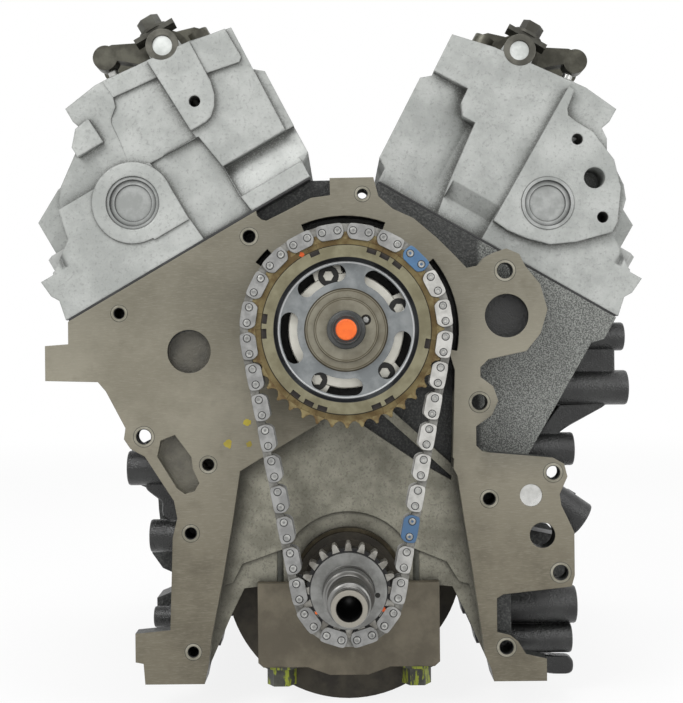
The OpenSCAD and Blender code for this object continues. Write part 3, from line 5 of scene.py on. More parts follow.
import bmesh
import bpy
from mathutils import Matrix, Vector
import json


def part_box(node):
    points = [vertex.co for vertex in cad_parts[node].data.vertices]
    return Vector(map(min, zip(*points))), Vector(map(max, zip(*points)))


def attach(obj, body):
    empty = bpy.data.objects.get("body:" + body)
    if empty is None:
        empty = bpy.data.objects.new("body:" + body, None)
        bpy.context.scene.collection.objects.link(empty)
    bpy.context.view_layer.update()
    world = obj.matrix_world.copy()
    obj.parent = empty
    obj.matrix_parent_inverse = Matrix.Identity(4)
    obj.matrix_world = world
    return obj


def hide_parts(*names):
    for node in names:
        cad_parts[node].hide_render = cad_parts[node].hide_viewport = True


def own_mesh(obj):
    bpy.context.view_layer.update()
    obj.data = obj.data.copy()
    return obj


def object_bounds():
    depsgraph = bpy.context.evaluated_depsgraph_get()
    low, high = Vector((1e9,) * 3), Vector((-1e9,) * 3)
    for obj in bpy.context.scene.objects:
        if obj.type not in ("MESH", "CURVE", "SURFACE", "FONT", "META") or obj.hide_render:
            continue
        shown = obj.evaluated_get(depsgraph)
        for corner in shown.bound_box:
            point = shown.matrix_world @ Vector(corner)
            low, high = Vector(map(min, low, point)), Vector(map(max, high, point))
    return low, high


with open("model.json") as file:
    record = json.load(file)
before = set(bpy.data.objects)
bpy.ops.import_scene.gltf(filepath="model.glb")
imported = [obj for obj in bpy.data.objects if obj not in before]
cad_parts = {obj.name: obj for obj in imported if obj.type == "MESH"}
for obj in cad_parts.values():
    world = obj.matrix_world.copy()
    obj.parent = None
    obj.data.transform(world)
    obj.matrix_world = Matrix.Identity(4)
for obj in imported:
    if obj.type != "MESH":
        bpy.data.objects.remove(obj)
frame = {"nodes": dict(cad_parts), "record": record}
cad_low, cad_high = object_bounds()
nodes = frame["nodes"]
joints = {joint["name"]: joint for joint in frame["record"]["behaviour"]["joints"]}
random.seed(7)

MM = 0.001
TURN = 2 * math.pi

# Planes and axes read from the frame
FACE_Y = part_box("cylinder_block")[0][1]
CHAIN_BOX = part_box("timing_chain")
CHAIN_Y = (CHAIN_BOX[0][1] + CHAIN_BOX[1][1]) / 2
CAM_Z = joints["cam_spin"]["pos_m"][2]
GROUND = cad_low[2]

# Chain drive
PITCH = 9.525 * MM
CAM_TEETH = 40
CRANK_TEETH = 20
CAM_PITCH_R = PITCH / 2 / math.sin(math.pi / CAM_TEETH)
CRANK_PITCH_R = PITCH / 2 / math.sin(math.pi / CRANK_TEETH)
PULSE_RING_R = 51.5 * MM
TOOTH_FRONT = CHAIN_Y - 5.5 * MM
PLATE_FRONT = CHAIN_Y - 7.0 * MM


class Shader:
    """A node tree that is built step by step; plain numbers and sockets can both be plugged in."""

    def __init__(self, name):
        self.mat = bpy.data.materials.new(name)
        self.mat.use_nodes = True
        self.tree = self.mat.node_tree
        self.bsdf = self.tree.nodes["Principled BSDF"]
        coords = self.tree.nodes.new("ShaderNodeTexCoord")
        self.place = coords.outputs["Object"]

    def node(self, kind, **inputs):
        made = self.tree.nodes.new(kind)
        for key, value in inputs.items():
            self.plug(made.inputs[key.replace("_", " ")], value)
        return made

    def plug(self, socket, value):
        if isinstance(value, bpy.types.NodeSocket):
            self.tree.links.new(value, socket)
        elif isinstance(value, tuple) and len(value) == 3 and socket.type == "RGBA":
            socket.default_value = (*value, 1)
        else:
            socket.default_value = value

    def noise(self, scale, detail=4, rough=0.6, stretch=None):
        place = self.place
        if stretch:
            place = self.node("ShaderNodeMapping", Vector=place, Scale=stretch).outputs[0]
        made = self.node("ShaderNodeTexNoise", Vector=place, Scale=scale, Detail=detail, Roughness=rough)
        return made.outputs["Fac"]

    def math(self, kind, a, b=0.0):
        made = self.tree.nodes.new("ShaderNodeMath")
        made.operation = kind
        self.plug(made.inputs[0], a)
        self.plug(made.inputs[1], b)
        return made.outputs[0]

    def product(self, first, *more):
        """All the masks multiplied together."""
        for mask in more:
            first = self.math("MULTIPLY", first, mask)
        return first

    def smooth(self, value, low, high, to_low=0.0, to_high=1.0):
        made = self.tree.nodes.new("ShaderNodeMapRange")
        made.interpolation_type = "SMOOTHSTEP"
        for index, v in enumerate((value, low, high, to_low, to_high)):
            self.plug(made.inputs[index], v)
        return made.outputs[0]

    def band(self, value, low, high, soft):
        """1 between low and high, 0 outside, with soft ends."""
        rise = self.smooth(value, low - soft, low + soft)
        fall = self.smooth(value, high - soft, high + soft, 1.0, 0.0)
        return self.math("MULTIPLY", rise, fall)

    def mix(self, factor, a, b):
        made = self.tree.nodes.new("ShaderNodeMix")
        made.data_type = "RGBA"
        self.plug(made.inputs[0], factor)
        self.plug(made.inputs[6], a)
        self.plug(made.inputs[7], b)
        return made.outputs[2]

    def blend(self, factor, a, b):
        made = self.tree.nodes.new("ShaderNodeMix")
        self.plug(made.inputs[0], factor)
        self.plug(made.inputs[2], a)
        self.plug(made.inputs[3], b)
        return made.outputs[0]

    def axes(self):
        split = self.node("ShaderNodeSeparateXYZ", Vector=self.place)
        return split.outputs[0], split.outputs[1], split.outputs[2]

    def radius(self, x0, z0):
        """Distance from the line along Y through x0, z0."""
        x, _, z = self.axes()
        dx = self.math("SUBTRACT", x, x0)
        dz = self.math("SUBTRACT", z, z0)
        square = self.math("ADD", self.math("MULTIPLY", dx, dx), self.math("MULTIPLY", dz, dz))
        return self.math("SQRT", square)

    def facing(self):
        """The true normal's parts in the object's own axes."""
        geo = self.tree.nodes.new("ShaderNodeNewGeometry")
        turned = self.tree.nodes.new("ShaderNodeVectorTransform")
        turned.vector_type = "NORMAL"
        turned.convert_from = "WORLD"
        turned.convert_to = "OBJECT"
        self.plug(turned.inputs[0], geo.outputs["True Normal"])
        split = self.node("ShaderNodeSeparateXYZ", Vector=turned.outputs[0])
        return split.outputs[0], split.outputs[1], split.outputs[2]

    def painted_shade_mask(self, distance):
        """Mask for painted shade: 1 deep in corners and recesses, 0 on open surfaces."""
        made = self.tree.nodes.new("ShaderNodeAmbientOcclusion")
        made.samples = 8
        made.inputs["Distance"].default_value = distance
        return self.smooth(made.outputs["AO"], 0.45, 0.98, 1.0, 0.0)

    def bump(self, height, strength, distance, edge=0.0):
        made = self.node("ShaderNodeBump", Height=height, Strength=strength, Distance=distance)
        if edge:
            bevel = self.tree.nodes.new("ShaderNodeBevel")
            bevel.samples = 4
            bevel.inputs["Radius"].default_value = edge
            self.plug(made.inputs["Normal"], bevel.outputs[0])
        self.plug(self.bsdf.inputs["Normal"], made.outputs[0])

    def finish(self, colour, rough, metal=0.0):
        self.plug(self.bsdf.inputs["Base Color"], colour)
        self.plug(self.bsdf.inputs["Roughness"], rough)
        self.plug(self.bsdf.inputs["Metallic"], metal)
        return self.mat


def cast_paint(name, colour, dark, rough, grain=0.35 * MM, edge=1.2 * MM):
    """Paint over a sand casting: fine grain, soft mottling and rounded edges."""
    s = Shader(name)
    mottle = s.noise(38, 5, 0.65)
    colour_out = s.mix(s.smooth(mottle, 0.35, 0.68), dark, colour)
    s.bump(s.math("ADD", s.noise(900, 3), s.math("MULTIPLY", s.noise(260, 3), 0.7)), 0.45, grain, edge)
    return s.finish(colour_out, s.smooth(mottle, 0.3, 0.7, rough + 0.08, rough - 0.06))


def machined(name, colour, dark, rough, metal=1.0, edge=0.4 * MM, scale=60, deep=0.0):
    """Bare metal with faint tool marks and stains, and painted shade in corners narrower than deep."""
    s = Shader(name)
    stain = s.noise(scale, 5)
    streak = s.noise(500, 2, 0.5, (1.0, 1.0, 14.0))
    colour_out = s.mix(s.smooth(stain, 0.38, 0.66), dark, colour)
    if deep:
        # Painted shade: darker in corners and recesses narrower than deep
        colour_out = s.mix(s.painted_shade_mask(deep), colour_out, tuple(0.15 * v for v in dark))
    s.bump(streak, 0.25, 0.06 * MM, edge)
    return s.finish(colour_out, s.smooth(stain, 0.35, 0.7, rough + 0.1, rough - 0.05), metal)


# Openings of the front face whose insides are painted dark as shade: X, Z and radius in mm, and the colour
# of the painted shade on their floor
DARK_PORTS = ((101.7, 168.0, 14.0, (0.010, 0.010, 0.009)), (124.1, 29.6, 8.2, (0.010, 0.010, 0.009)),
              (-98.3, 145.3, 14.0, (0.090, 0.083, 0.064)), (-106.0, 76.0, 24.0, (0.150, 0.140, 0.108)))
# How far behind the front face the painted shade of the openings reaches
DARK_DEPTH = 60 * MM

# Rough recess behind the front face: its depth, half its width and its top
RECESS_DEPTH = 14 * MM
RECESS_HALF = 88 * MM
RECESS_TOP = 211 * MM


def block_material():
    """Machined front face, rough cast recess and black painted outside, with a painted shadow on the face
    and painted shade in the recess's corners, ports and slots.
    """
    s = Shader("block_casting")
    x, y, z = s.axes()
    normal_y = s.facing()[1]
    front = s.product(s.smooth(y, FACE_Y + 0.6 * MM, FACE_Y + 0.2 * MM), s.smooth(normal_y, -0.9, -0.98))
    inside = s.product(s.smooth(y, FACE_Y + RECESS_DEPTH + 0.5 * MM, FACE_Y + RECESS_DEPTH - 0.5 * MM),
                       s.smooth(s.math("ABSOLUTE", x), RECESS_HALF + 1 * MM, RECESS_HALF - 1 * MM),
                       s.smooth(z, RECESS_TOP + 1 * MM, RECESS_TOP - 1 * MM))
    big = s.noise(14, 6, 0.62)
    mid = s.noise(55, 5)
    grain = s.noise(700, 3)
    brushed = s.noise(260, 3, 0.6, (1.0, 1.0, 9.0))
    height_tone = s.smooth(z, -0.02, 0.16)
    base = s.mix(height_tone, (0.150, 0.134, 0.096), (0.262, 0.244, 0.190))
    worn = s.mix(height_tone, (0.092, 0.080, 0.055), (0.195, 0.180, 0.136))
    face = s.mix(s.smooth(big, 0.34, 0.60), worn, base)
    face = s.mix(s.smooth(mid, 0.54, 0.74, 0.0, 0.35), face, (0.105, 0.092, 0.064))
    face = s.mix(s.smooth(z, 0.120, 0.185, 0.0, 0.45), face, (0.095, 0.088, 0.064))
    shadow = s.math("MULTIPLY", s.band(z, 0.075, 0.112, 0.016), s.smooth(x, 0.078, 0.092))
    face = s.mix(s.math("MULTIPLY", shadow, 0.55), face, (0.050, 0.048, 0.040))
    face = s.mix(s.smooth(brushed, 0.45, 0.75, 0.0, 0.25), face, (0.330, 0.312, 0.255))
    raw = s.mix(s.smooth(mid, 0.35, 0.65), (0.165, 0.158, 0.122), (0.275, 0.266, 0.212))
    raw = s.mix(s.smooth(grain, 0.52, 0.66, 0.0, 0.45), raw, (0.080, 0.075, 0.056))
    # Painted shade: the rough recess is darker in its corners
    corner = s.painted_shade_mask(14 * MM)
    raw = s.mix(s.math("MULTIPLY", corner, 0.75), raw, (0.035, 0.032, 0.024))
    paint = s.mix(s.smooth(grain, 0.47, 0.62), (0.012, 0.013, 0.012), (0.048, 0.050, 0.046))
    paint = s.mix(s.smooth(mid, 0.50, 0.70, 0.0, 0.6), paint, (0.026, 0.027, 0.025))
    # Greyer, finely speckled wall on the right of the front flange
    speckle = s.mix(s.smooth(s.noise(1300, 2), 0.42, 0.60), (0.060, 0.063, 0.058), (0.235, 0.243, 0.226))
    wall = s.product(s.smooth(x, 0.084, 0.088), s.smooth(z, 0.058, 0.064), s.smooth(normal_y, -0.6, -0.9))
    colour = s.mix(wall, paint, speckle)
    colour = s.mix(inside, colour, raw)
    # Painted shade: ports, slots and the bay behind the cam sprocket are painted dark behind the front face
    near = s.smooth(y, FACE_Y + DARK_DEPTH + 10 * MM, FACE_Y + DARK_DEPTH)
    behind = s.product(near, s.smooth(y, FACE_Y + 0.8 * MM, FACE_Y + 1.4 * MM))
    for hole_x, hole_z, hole_r, shade in DARK_PORTS:
        from_port = s.radius(hole_x * MM, hole_z * MM)
        dark = s.product(s.smooth(from_port, (hole_r + 0.6) * MM, hole_r * MM), behind)
        tone = s.mix(s.smooth(mid, 0.35, 0.65), tuple(0.55 * v for v in shade), shade)
        colour = s.mix(dark, colour, tone)
    from_cam = s.radius(0.0, CAM_Z)
    bay = s.product(s.smooth(from_cam, 51 * MM, 50 * MM), behind)
    slots = s.product(s.band(from_cam, 60 * MM, 80 * MM, 1 * MM), s.smooth(z, 0.118, 0.122), behind,
                      s.smooth(x, 0.077, 0.075))
    colour = s.mix(s.math("MAXIMUM", bay, slots), colour, (0.008, 0.008, 0.007))
    colour = s.mix(front, colour, face)
    coarse = s.math("ADD", s.noise(300, 4, 0.7), s.math("MULTIPLY", s.noise(900, 2), 0.6))
    height = s.math("MULTIPLY", coarse, s.smooth(front, 0.0, 1.0, 1.0, 0.05))
    s.bump(height, 0.8, 0.7 * MM, 0.8 * MM)
    rough = s.blend(front, s.blend(inside, 0.42, 0.68), s.smooth(big, 0.3, 0.7, 0.58, 0.46))
    return s.finish(colour, rough, s.blend(front, 0.0, 0.35))


def head_material():
    """Silver grey paint over a sand cast head, darker where the grain is deep, with painted shade speckled
    into corners and recesses.
    """
    s = Shader("head_casting")
    mottle = s.noise(30, 5, 0.65)
    grain = s.noise(520, 3)
    colour = s.mix(s.smooth(mottle, 0.34, 0.68), (0.300, 0.312, 0.298), (0.425, 0.437, 0.420))
    colour = s.mix(s.smooth(grain, 0.54, 0.68, 0.0, 0.4), colour, (0.190, 0.195, 0.186))
    # Painted shade: speckled darkening in corners and recesses
    corner = s.painted_shade_mask(9 * MM)
    speckled = s.smooth(s.math("ADD", s.noise(1100, 2), s.math("MULTIPLY", corner, 0.22)), 0.52, 0.70)
    colour = s.mix(s.math("MULTIPLY", corner, s.blend(speckled, 0.45, 0.95)), colour, (0.085, 0.087, 0.080))
    s.bump(s.math("ADD", grain, s.math("MULTIPLY", s.noise(240, 3), 0.8)), 0.55, 0.4 * MM, 1.6 * MM)
    return s.finish(colour, s.smooth(mottle, 0.3, 0.7, 0.52, 0.40), 0.15)


# Drive pin in the hub of the cam sprocket
PIN_X = 12 * MM
PIN_Z = CAM_Z + 6 * MM


def sprocket_material():
    """Rings round the cam axis: olive hub, bluish dish, black rim, khaki pulse ring and stained teeth, with
    a painted highlight on the dish and painted shade between the teeth.
    """
    s = Shader("cam_sprocket_steel")
    y = s.axes()[1]
    r = s.radius(0.0, CAM_Z)
    stain = s.noise(70, 5)
    fine = s.noise(600, 3)
    teeth = s.mix(s.smooth(stain, 0.36, 0.62), (0.105, 0.068, 0.024), (0.190, 0.150, 0.066))
    khaki = s.mix(s.smooth(stain, 0.35, 0.65), (0.150, 0.136, 0.083), (0.225, 0.209, 0.135))
    dish = s.mix(s.smooth(stain, 0.35, 0.65), (0.165, 0.178, 0.182), (0.262, 0.276, 0.278))
    hub = s.mix(s.smooth(stain, 0.35, 0.65), (0.150, 0.136, 0.100), (0.228, 0.214, 0.166))
    colour = s.mix(s.smooth(r, PULSE_RING_R - 0.1 * MM, PULSE_RING_R + 0.1 * MM), khaki, teeth)
    gap = s.band(r, PULSE_RING_R, PULSE_RING_R + 0.7 * MM, 0.15 * MM)
    colour = s.mix(gap, colour, (0.020, 0.016, 0.010))
    rim = (0.016, 0.017, 0.020)
    # Painted highlight: a bright line round the dish's edge
    painted_highlight_line = (0.520, 0.530, 0.530)
    groove = (0.045, 0.035, 0.018)
    # Each ring starts between two radii, in mm
    for outer, inner, tone in ((44.5, 44.2, rim), (42.1, 41.9, painted_highlight_line), (41.1, 40.9, dish),
                               (25.9, 25.6, groove), (25.2, 24.8, hub)):
        colour = s.mix(s.smooth(r, outer * MM, inner * MM), colour, tone)
    slot = s.smooth(s.radius(PIN_X, PIN_Z), 3.4 * MM, 3.1 * MM)
    colour = s.mix(slot, colour, (0.014, 0.012, 0.008))
    for ring in (24.0, 19.6, 18.6):
        dark = s.band(r, (ring - 0.3) * MM, (ring + 0.3) * MM, 0.2 * MM)
        colour = s.mix(s.math("MULTIPLY", dark, 0.75), colour, (0.050, 0.038, 0.018))
    # Painted shade: the floors between the teeth, behind the teeth's front, are darkened
    notch_shade = s.math("MULTIPLY", s.smooth(y, TOOTH_FRONT - 0.9 * MM, TOOTH_FRONT - 0.6 * MM),
                   s.band(r, 47.5 * MM, PULSE_RING_R, 0.2 * MM))
    colour = s.mix(notch_shade, colour, (0.035, 0.030, 0.028))
    turned = s.noise(500, 2, 0.5, (1.0, 1.0, 8.0))
    s.bump(s.math("ADD", turned, s.math("MULTIPLY", fine, 0.5)), 0.3, 0.08 * MM, 0.4 * MM)
    return s.finish(colour, s.smooth(stain, 0.3, 0.7, 0.50, 0.36), 0.55)


def tooth_material():
    s = Shader("stained_teeth")
    stain = s.noise(160, 5)
    colour = s.mix(s.smooth(stain, 0.38, 0.62), (0.100, 0.060, 0.020), (0.215, 0.172, 0.078))
    s.bump(s.noise(500, 3), 0.25, 0.08 * MM, 0.35 * MM)
    return s.finish(colour, 0.45, 0.45)


def crank_sprocket_material():
    """Bright ground flange with a pin hole painted dark as shade, a black line round it and pale teeth."""
    s = Shader("crank_sprocket_steel")
    r = s.radius(0.0, 0.0)
    stain = s.noise(90, 5)
    flange = s.mix(s.smooth(stain, 0.35, 0.65), (0.165, 0.165, 0.157), (0.265, 0.267, 0.256))
    # Painted shade: a dark disc where a pin hole is in the flange
    pin_hole_shade = s.smooth(s.radius(17.6 * MM, -2.6 * MM), 1.7 * MM, 1.5 * MM)
    flange = s.mix(pin_hole_shade, flange, (0.020, 0.020, 0.018))
    colour = s.mix(s.smooth(r, 23.2 * MM, 23.5 * MM), flange, (0.018, 0.018, 0.018))
    s.bump(s.noise(500, 2, 0.5, (1.0, 1.0, 8.0)), 0.25, 0.06 * MM, 0.4 * MM)
    return s.finish(colour, s.smooth(stain, 0.3, 0.7, 0.48, 0.34), 0.6)


def shaft_end_material(axis_x, axis_z):
    """Rocker shafts: a pale pressed plug inside a dark tube."""
    s = Shader("rocker_shaft_steel")
    x, _, z = s.axes()
    dx = s.math("SUBTRACT", s.math("ABSOLUTE", x), axis_x)
    dz = s.math("SUBTRACT", z, axis_z)
    r = s.math("SQRT", s.math("ADD", s.math("MULTIPLY", dx, dx), s.math("MULTIPLY", dz, dz)))
    stain = s.noise(80, 5)
    tube = s.mix(s.smooth(stain, 0.36, 0.64), (0.070, 0.068, 0.056), (0.140, 0.136, 0.115))
    plug = s.mix(s.smooth(stain, 0.36, 0.64), (0.480, 0.500, 0.480), (0.680, 0.700, 0.680))
    colour = s.mix(s.smooth(r, 6.3 * MM, 6.0 * MM), tube, plug)
    s.bump(s.noise(500, 3), 0.2, 0.06 * MM, 0.6 * MM)
    return s.finish(colour, 0.4, 0.6)


def crank_material():
    """Dark brushed forging with ground, bright front end, and painted shade black in its bore."""
    s = Shader("crank_steel")
    y = s.axes()[1]
    r = s.radius(0.0, 0.0)
    stain = s.noise(60, 5)
    rings = s.noise(700, 2, 0.5, (0.03, 1.0, 0.03))
    dark = s.mix(s.smooth(stain, 0.36, 0.64), (0.024, 0.020, 0.014), (0.055, 0.047, 0.033))
    bright = s.mix(s.smooth(rings, 0.42, 0.6), (0.060, 0.058, 0.053), (0.215, 0.214, 0.205))
    nose = s.smooth(y, FACE_Y - 2 * MM, FACE_Y - 4 * MM)
    colour = s.mix(nose, dark, bright)
    end = s.smooth(y, cad_low[1] + 1.2 * MM, cad_low[1] + 0.9 * MM)
    colour = s.mix(end, colour, (0.250, 0.235, 0.200))
    # Painted shade: the bore in the front end is painted black
    bore = s.math("MULTIPLY", s.smooth(r, 7.7 * MM, 7.4 * MM), nose)
    colour = s.mix(bore, colour, (0.006, 0.006, 0.006))
    s.bump(rings, 0.25, 0.06 * MM, 0.4 * MM)
    plain = s.smooth(s.math("MAXIMUM", end, bore), 0.0, 1.0, 1.0, 0.1)
    return s.finish(colour, s.blend(nose, 0.6, 0.30), s.product(s.blend(nose, 0.3, 0.85), plain))


def bolt_paint_material():
    """Black bolts whose heads, below the caps, have smears of yellow green inspection paint."""
    s = Shader("marked_bolt")
    z = s.axes()[2]
    smear = s.noise(170, 4, 0.6, (1.0, 1.0, 0.3))
    stain = s.noise(90, 5)
    black = s.mix(s.smooth(stain, 0.35, 0.65), (0.020, 0.021, 0.015), (0.060, 0.060, 0.045))
    painted = s.math("MULTIPLY", s.smooth(smear, 0.49, 0.54), s.smooth(z, -50 * MM, -54 * MM))
    colour = s.mix(painted, black, (0.230, 0.270, 0.015))
    s.bump(s.noise(500, 3), 0.3, 0.1 * MM, 0.5 * MM)
    return s.finish(colour, 0.42, 0.1)


def thrust_plate_material():
    """Bright ground plate, its pale colour partly painted light to make up for the shade of its deep recess;
    its screws are black.
    """
    s = Shader("thrust_plate_steel")
    y = s.axes()[1]
    stain = s.noise(60, 5)
    # Painted light: the plate's pale colour is raised to make up for the shade of its deep recess
    plate = s.mix(s.smooth(stain, 0.36, 0.64), (0.600, 0.585, 0.520), (0.740, 0.725, 0.650))
    plate_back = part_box("cam_thrust_plate")[1][1]
    screw = s.smooth(y, plate_back - 15.0 * MM, plate_back - 15.4 * MM)
    s.bump(s.noise(500, 2), 0.2, 0.05 * MM, 0.4 * MM)
    return s.finish(s.mix(screw, plate, (0.030, 0.030, 0.028)), 0.28, s.smooth(screw, 0.0, 1.0, 0.95, 0.3))


def chain_plate_material():
    """Punched steel plates, with a painted highlight that makes the right strand brighter."""
    s = Shader("chain_plate_steel")
    x = s.axes()[0]
    stain = s.noise(150, 5)
    # Painted highlight: plates are lighter to the right of x 20 to 50 mm
    side = s.smooth(x, 0.02, 0.05)
    left = s.mix(s.smooth(stain, 0.36, 0.64), (0.205, 0.205, 0.200), (0.300, 0.300, 0.292))
    right = s.mix(s.smooth(stain, 0.36, 0.64), (0.380, 0.374, 0.352), (0.520, 0.512, 0.486))
    s.bump(s.noise(900, 2), 0.2, 0.04 * MM, 0.3 * MM)
    return s.finish(s.mix(side, left, right), 0.40, 0.35)


def dress(material, *names):
    """Gives CAD nodes a material of their own."""
    for name in names:
        slots = nodes[name].material_slots
        if not slots:
            nodes[name].data.materials.append(material)
        for slot in slots:
            slot.material = material


def numbered(stem, count):
    return [f"{stem}_{i}" for i in range(1, count + 1)]


BLACK_PAINT = cast_paint("black_casting", (0.050, 0.053, 0.051), (0.018, 0.019, 0.018), 0.36)
BOSS_PAINT = cast_paint("glossy_black_casting", (0.020, 0.021, 0.020), (0.006, 0.006, 0.006), 0.26, 1.0 * MM)
# Near black for dark joints round the rivets and rims, and painted shade down the drilled holes' walls
GAP_AND_SHADE_BLACK = cast_paint("gap_and_painted_shade", (0.012, 0.012, 0.011), (0.006, 0.006, 0.006), 0.7)
OLIVE_IRON = cast_paint("olive_iron", (0.140, 0.120, 0.082), (0.085, 0.072, 0.048), 0.55, 0.2 * MM)
ORANGE = cast_paint("orange_mark", (0.830, 0.150, 0.012), (0.620, 0.085, 0.008), 0.5, 0.1 * MM, 0.2 * MM)
YELLOW = cast_paint("yellow_mark", (0.420, 0.340, 0.030), (0.250, 0.200, 0.030), 0.6, 0.1 * MM, 0.2 * MM)
BLUE = cast_paint("blue_mark", (0.065, 0.150, 0.270), (0.045, 0.105, 0.200), 0.45, 0.05 * MM, 0.3 * MM)
CHAIN_PLATE = chain_plate_material()
RIVET = machined("rivet_steel", (0.46, 0.46, 0.44), (0.26, 0.26, 0.25), 0.32, 0.6, 0.2 * MM, 200)
HOLE_RIM = machined("hole_rim", (0.30, 0.285, 0.23), (0.18, 0.17, 0.13), 0.45, 0.4, 0.2 * MM, 120)
TOOTH = tooth_material()
PALE_TOOTH = machined("pale_tooth", (0.34, 0.33, 0.30), (0.17, 0.16, 0.14), 0.36, 0.5, 0.4 * MM, 120)
CRANK = crank_material()

SHAFT_AXIS = joints["rocker_pivot_1"]["pos_m"]
dress(block_material(), "cylinder_block")
dress(head_material(), "left_cylinder_head", "right_cylinder_head")
dress(cast_paint("bolt_grey", (0.400, 0.410, 0.395), (0.270, 0.277, 0.265), 0.45, 0.15 * MM, 0.8 * MM),
      "head_bolts")
dress(OLIVE_IRON, "main_bearing_caps")
dress(bolt_paint_material(), "main_cap_bolts")
dress(machined("dark_bolt", (0.10, 0.10, 0.085), (0.05, 0.048, 0.04), 0.38, 0.7), "rocker_shaft_bolts")
THRUST_PLATE = thrust_plate_material()
dress(THRUST_PLATE, "cam_thrust_plate")
dress(machined("rocker_steel", (0.105, 0.102, 0.080), (0.042, 0.040, 0.030), 0.38, 0.6),
      *numbered("rocker_arm", 12))
dress(shaft_end_material(abs(SHAFT_AXIS[0]), SHAFT_AXIS[2]), "rocker_shafts")
dress(machined("bright_steel", (0.62, 0.62, 0.60), (0.42, 0.42, 0.40), 0.28, 0.8),
      "lifters", "pushrods", "front_dowel_pins", *numbered("valve", 12))
# Core plugs: painted shade in corners narrower than 3 mm
dress(machined("plug_steel", (0.40, 0.41, 0.40), (0.26, 0.27, 0.26), 0.36, 0.4, deep=3 * MM), "core_plugs")
dress(machined("bearing_bronze", (0.10, 0.085, 0.055), (0.045, 0.038, 0.026), 0.4), "engine_bearings")
dress(machined("guide_bronze", (0.45, 0.36, 0.22), (0.33, 0.26, 0.16), 0.35), "valve_guides_and_seats")
dress(sprocket_material(), "cam_sprocket")
dress(crank_sprocket_material(), "crank_sprocket")
dress(machined("crank_iron", (0.30, 0.29, 0.27), (0.16, 0.15, 0.13), 0.36), "camshaft",
      *numbered("connecting_rod", 6))
dress(machined("bare_alloy", (0.55, 0.56, 0.57), (0.42, 0.43, 0.44), 0.35), "rear_seal_housing",
      *numbered("piston", 6))
dress(cast_paint("gasket", (0.03, 0.03, 0.03), (0.015, 0.015, 0.015), 0.6), "head_gaskets")


# Edges that turn by more than this stay sharp
SHARP_ANGLE = math.radians(35)


def new_piece(name, mesh_maker, body, *materials):
    """Makes one object from a bmesh, smooth but for its sharp edges, and lets it ride on a body."""
    shape = bmesh.new()
    mesh_maker(shape)
    bmesh.ops.recalc_face_normals(shape, faces=shape.faces)
    mesh = bpy.data.meshes.new(name)
    shape.to_mesh(mesh)
    shape.free()
    for material in materials:
        mesh.materials.append(material)
    mesh.shade_smooth()
    mesh.set_sharp_from_angle(angle=SHARP_ANGLE)
    piece = bpy.data.objects.new(name, mesh)
    bpy.context.collection.objects.link(piece)
    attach(piece, body)
    return piece


def rounded(points, radius, steps=4):
    """Outline with each corner replaced by an arc-like curve."""
    out = []
    for i, point in enumerate(points):
        here = Vector(point)
        before = Vector(points[i - 1]) - here
        after = Vector(points[(i + 1) % len(points)]) - here
        cut = min(radius, before.length * 0.45, after.length * 0.45)
        start = here + before.normalized() * cut
        end = here + after.normalized() * cut
        for step in range(steps + 1):
            t = step / steps
            out.append(start * (1 - t) ** 2 + here * 2 * t * (1 - t) + end * t ** 2)
    return out


def add_prism(shape, outline, y_front, y_back, chamfer=0.0, material=0, rim=None):
    """Extrudes an X-Z outline along Y, with a chamfered front edge; rim is the material of its sides."""
    middle = sum((Vector(p) for p in outline), Vector((0, 0))) / len(outline)

    def ring(y, inset):
        made = []
        for p in outline:
            v = Vector(p)
            v = v - (v - middle).normalized() * inset
            made.append(shape.verts.new((v[0], y, v[1])))
        return made

    rings = [ring(y_front, chamfer)]
    if chamfer:
        rings.append(ring(y_front + chamfer, 0))
    rings.append(ring(y_back, 0))
    shape.faces.new(rings[0]).material_index = material
    shape.faces.new(list(reversed(rings[-1]))).material_index = material
    for near, far in zip(rings, rings[1:]):
        for i in range(len(outline)):
            j = (i + 1) % len(outline)
            face = shape.faces.new((near[i], far[i], far[j], near[j]))
            face.material_index = material if rim is None else rim


def add_lathe(shape, profile, start, direction, sides=40, materials=None):
    """Turns (radius, distance) points round a line; materials gives a slot for each band of the profile."""
    along = Vector(direction).normalized()
    across = along.orthogonal().normalized()
    third = along.cross(across)
    rings = []
    for radius, distance in profile:
        centre = Vector(start) + along * distance
        if radius == 0:
            rings.append([shape.verts.new(centre)])
            continue
        rings.append([shape.verts.new(centre + (across * math.cos(TURN * i / sides)
                                                + third * math.sin(TURN * i / sides)) * radius)
                      for i in range(sides)])
    for band, (a, b) in enumerate(zip(rings, rings[1:])):
        for i in range(sides):
            j = (i + 1) % sides
            corners = [a[i % len(a)], a[j % len(a)], b[j % len(b)], b[i % len(b)]]
            corners = list(dict.fromkeys(corners))
            if len(corners) < 3:
                continue
            face = shape.faces.new(corners)
            face.material_index = materials[band] if materials else 0


# Timing chain: the same walk round both sprockets as the CAD chain
WRAP = math.asin((CAM_PITCH_R - CRANK_PITCH_R) / CAM_Z)
STRAND = math.sqrt(CAM_Z ** 2 - (CAM_PITCH_R - CRANK_PITCH_R) ** 2)
ARC_CAM = (math.pi + 2 * WRAP) * CAM_PITCH_R
ARC_CRANK = (math.pi - 2 * WRAP) * CRANK_PITCH_R
CHAIN_LENGTH = ARC_CAM + ARC_CRANK + 2 * STRAND
LINKS = 2 * round(CHAIN_LENGTH / PITCH / 2)


def on_circle(radius, centre_z, angle):
    return Vector((radius * math.sin(angle), centre_z + radius * math.cos(angle)))


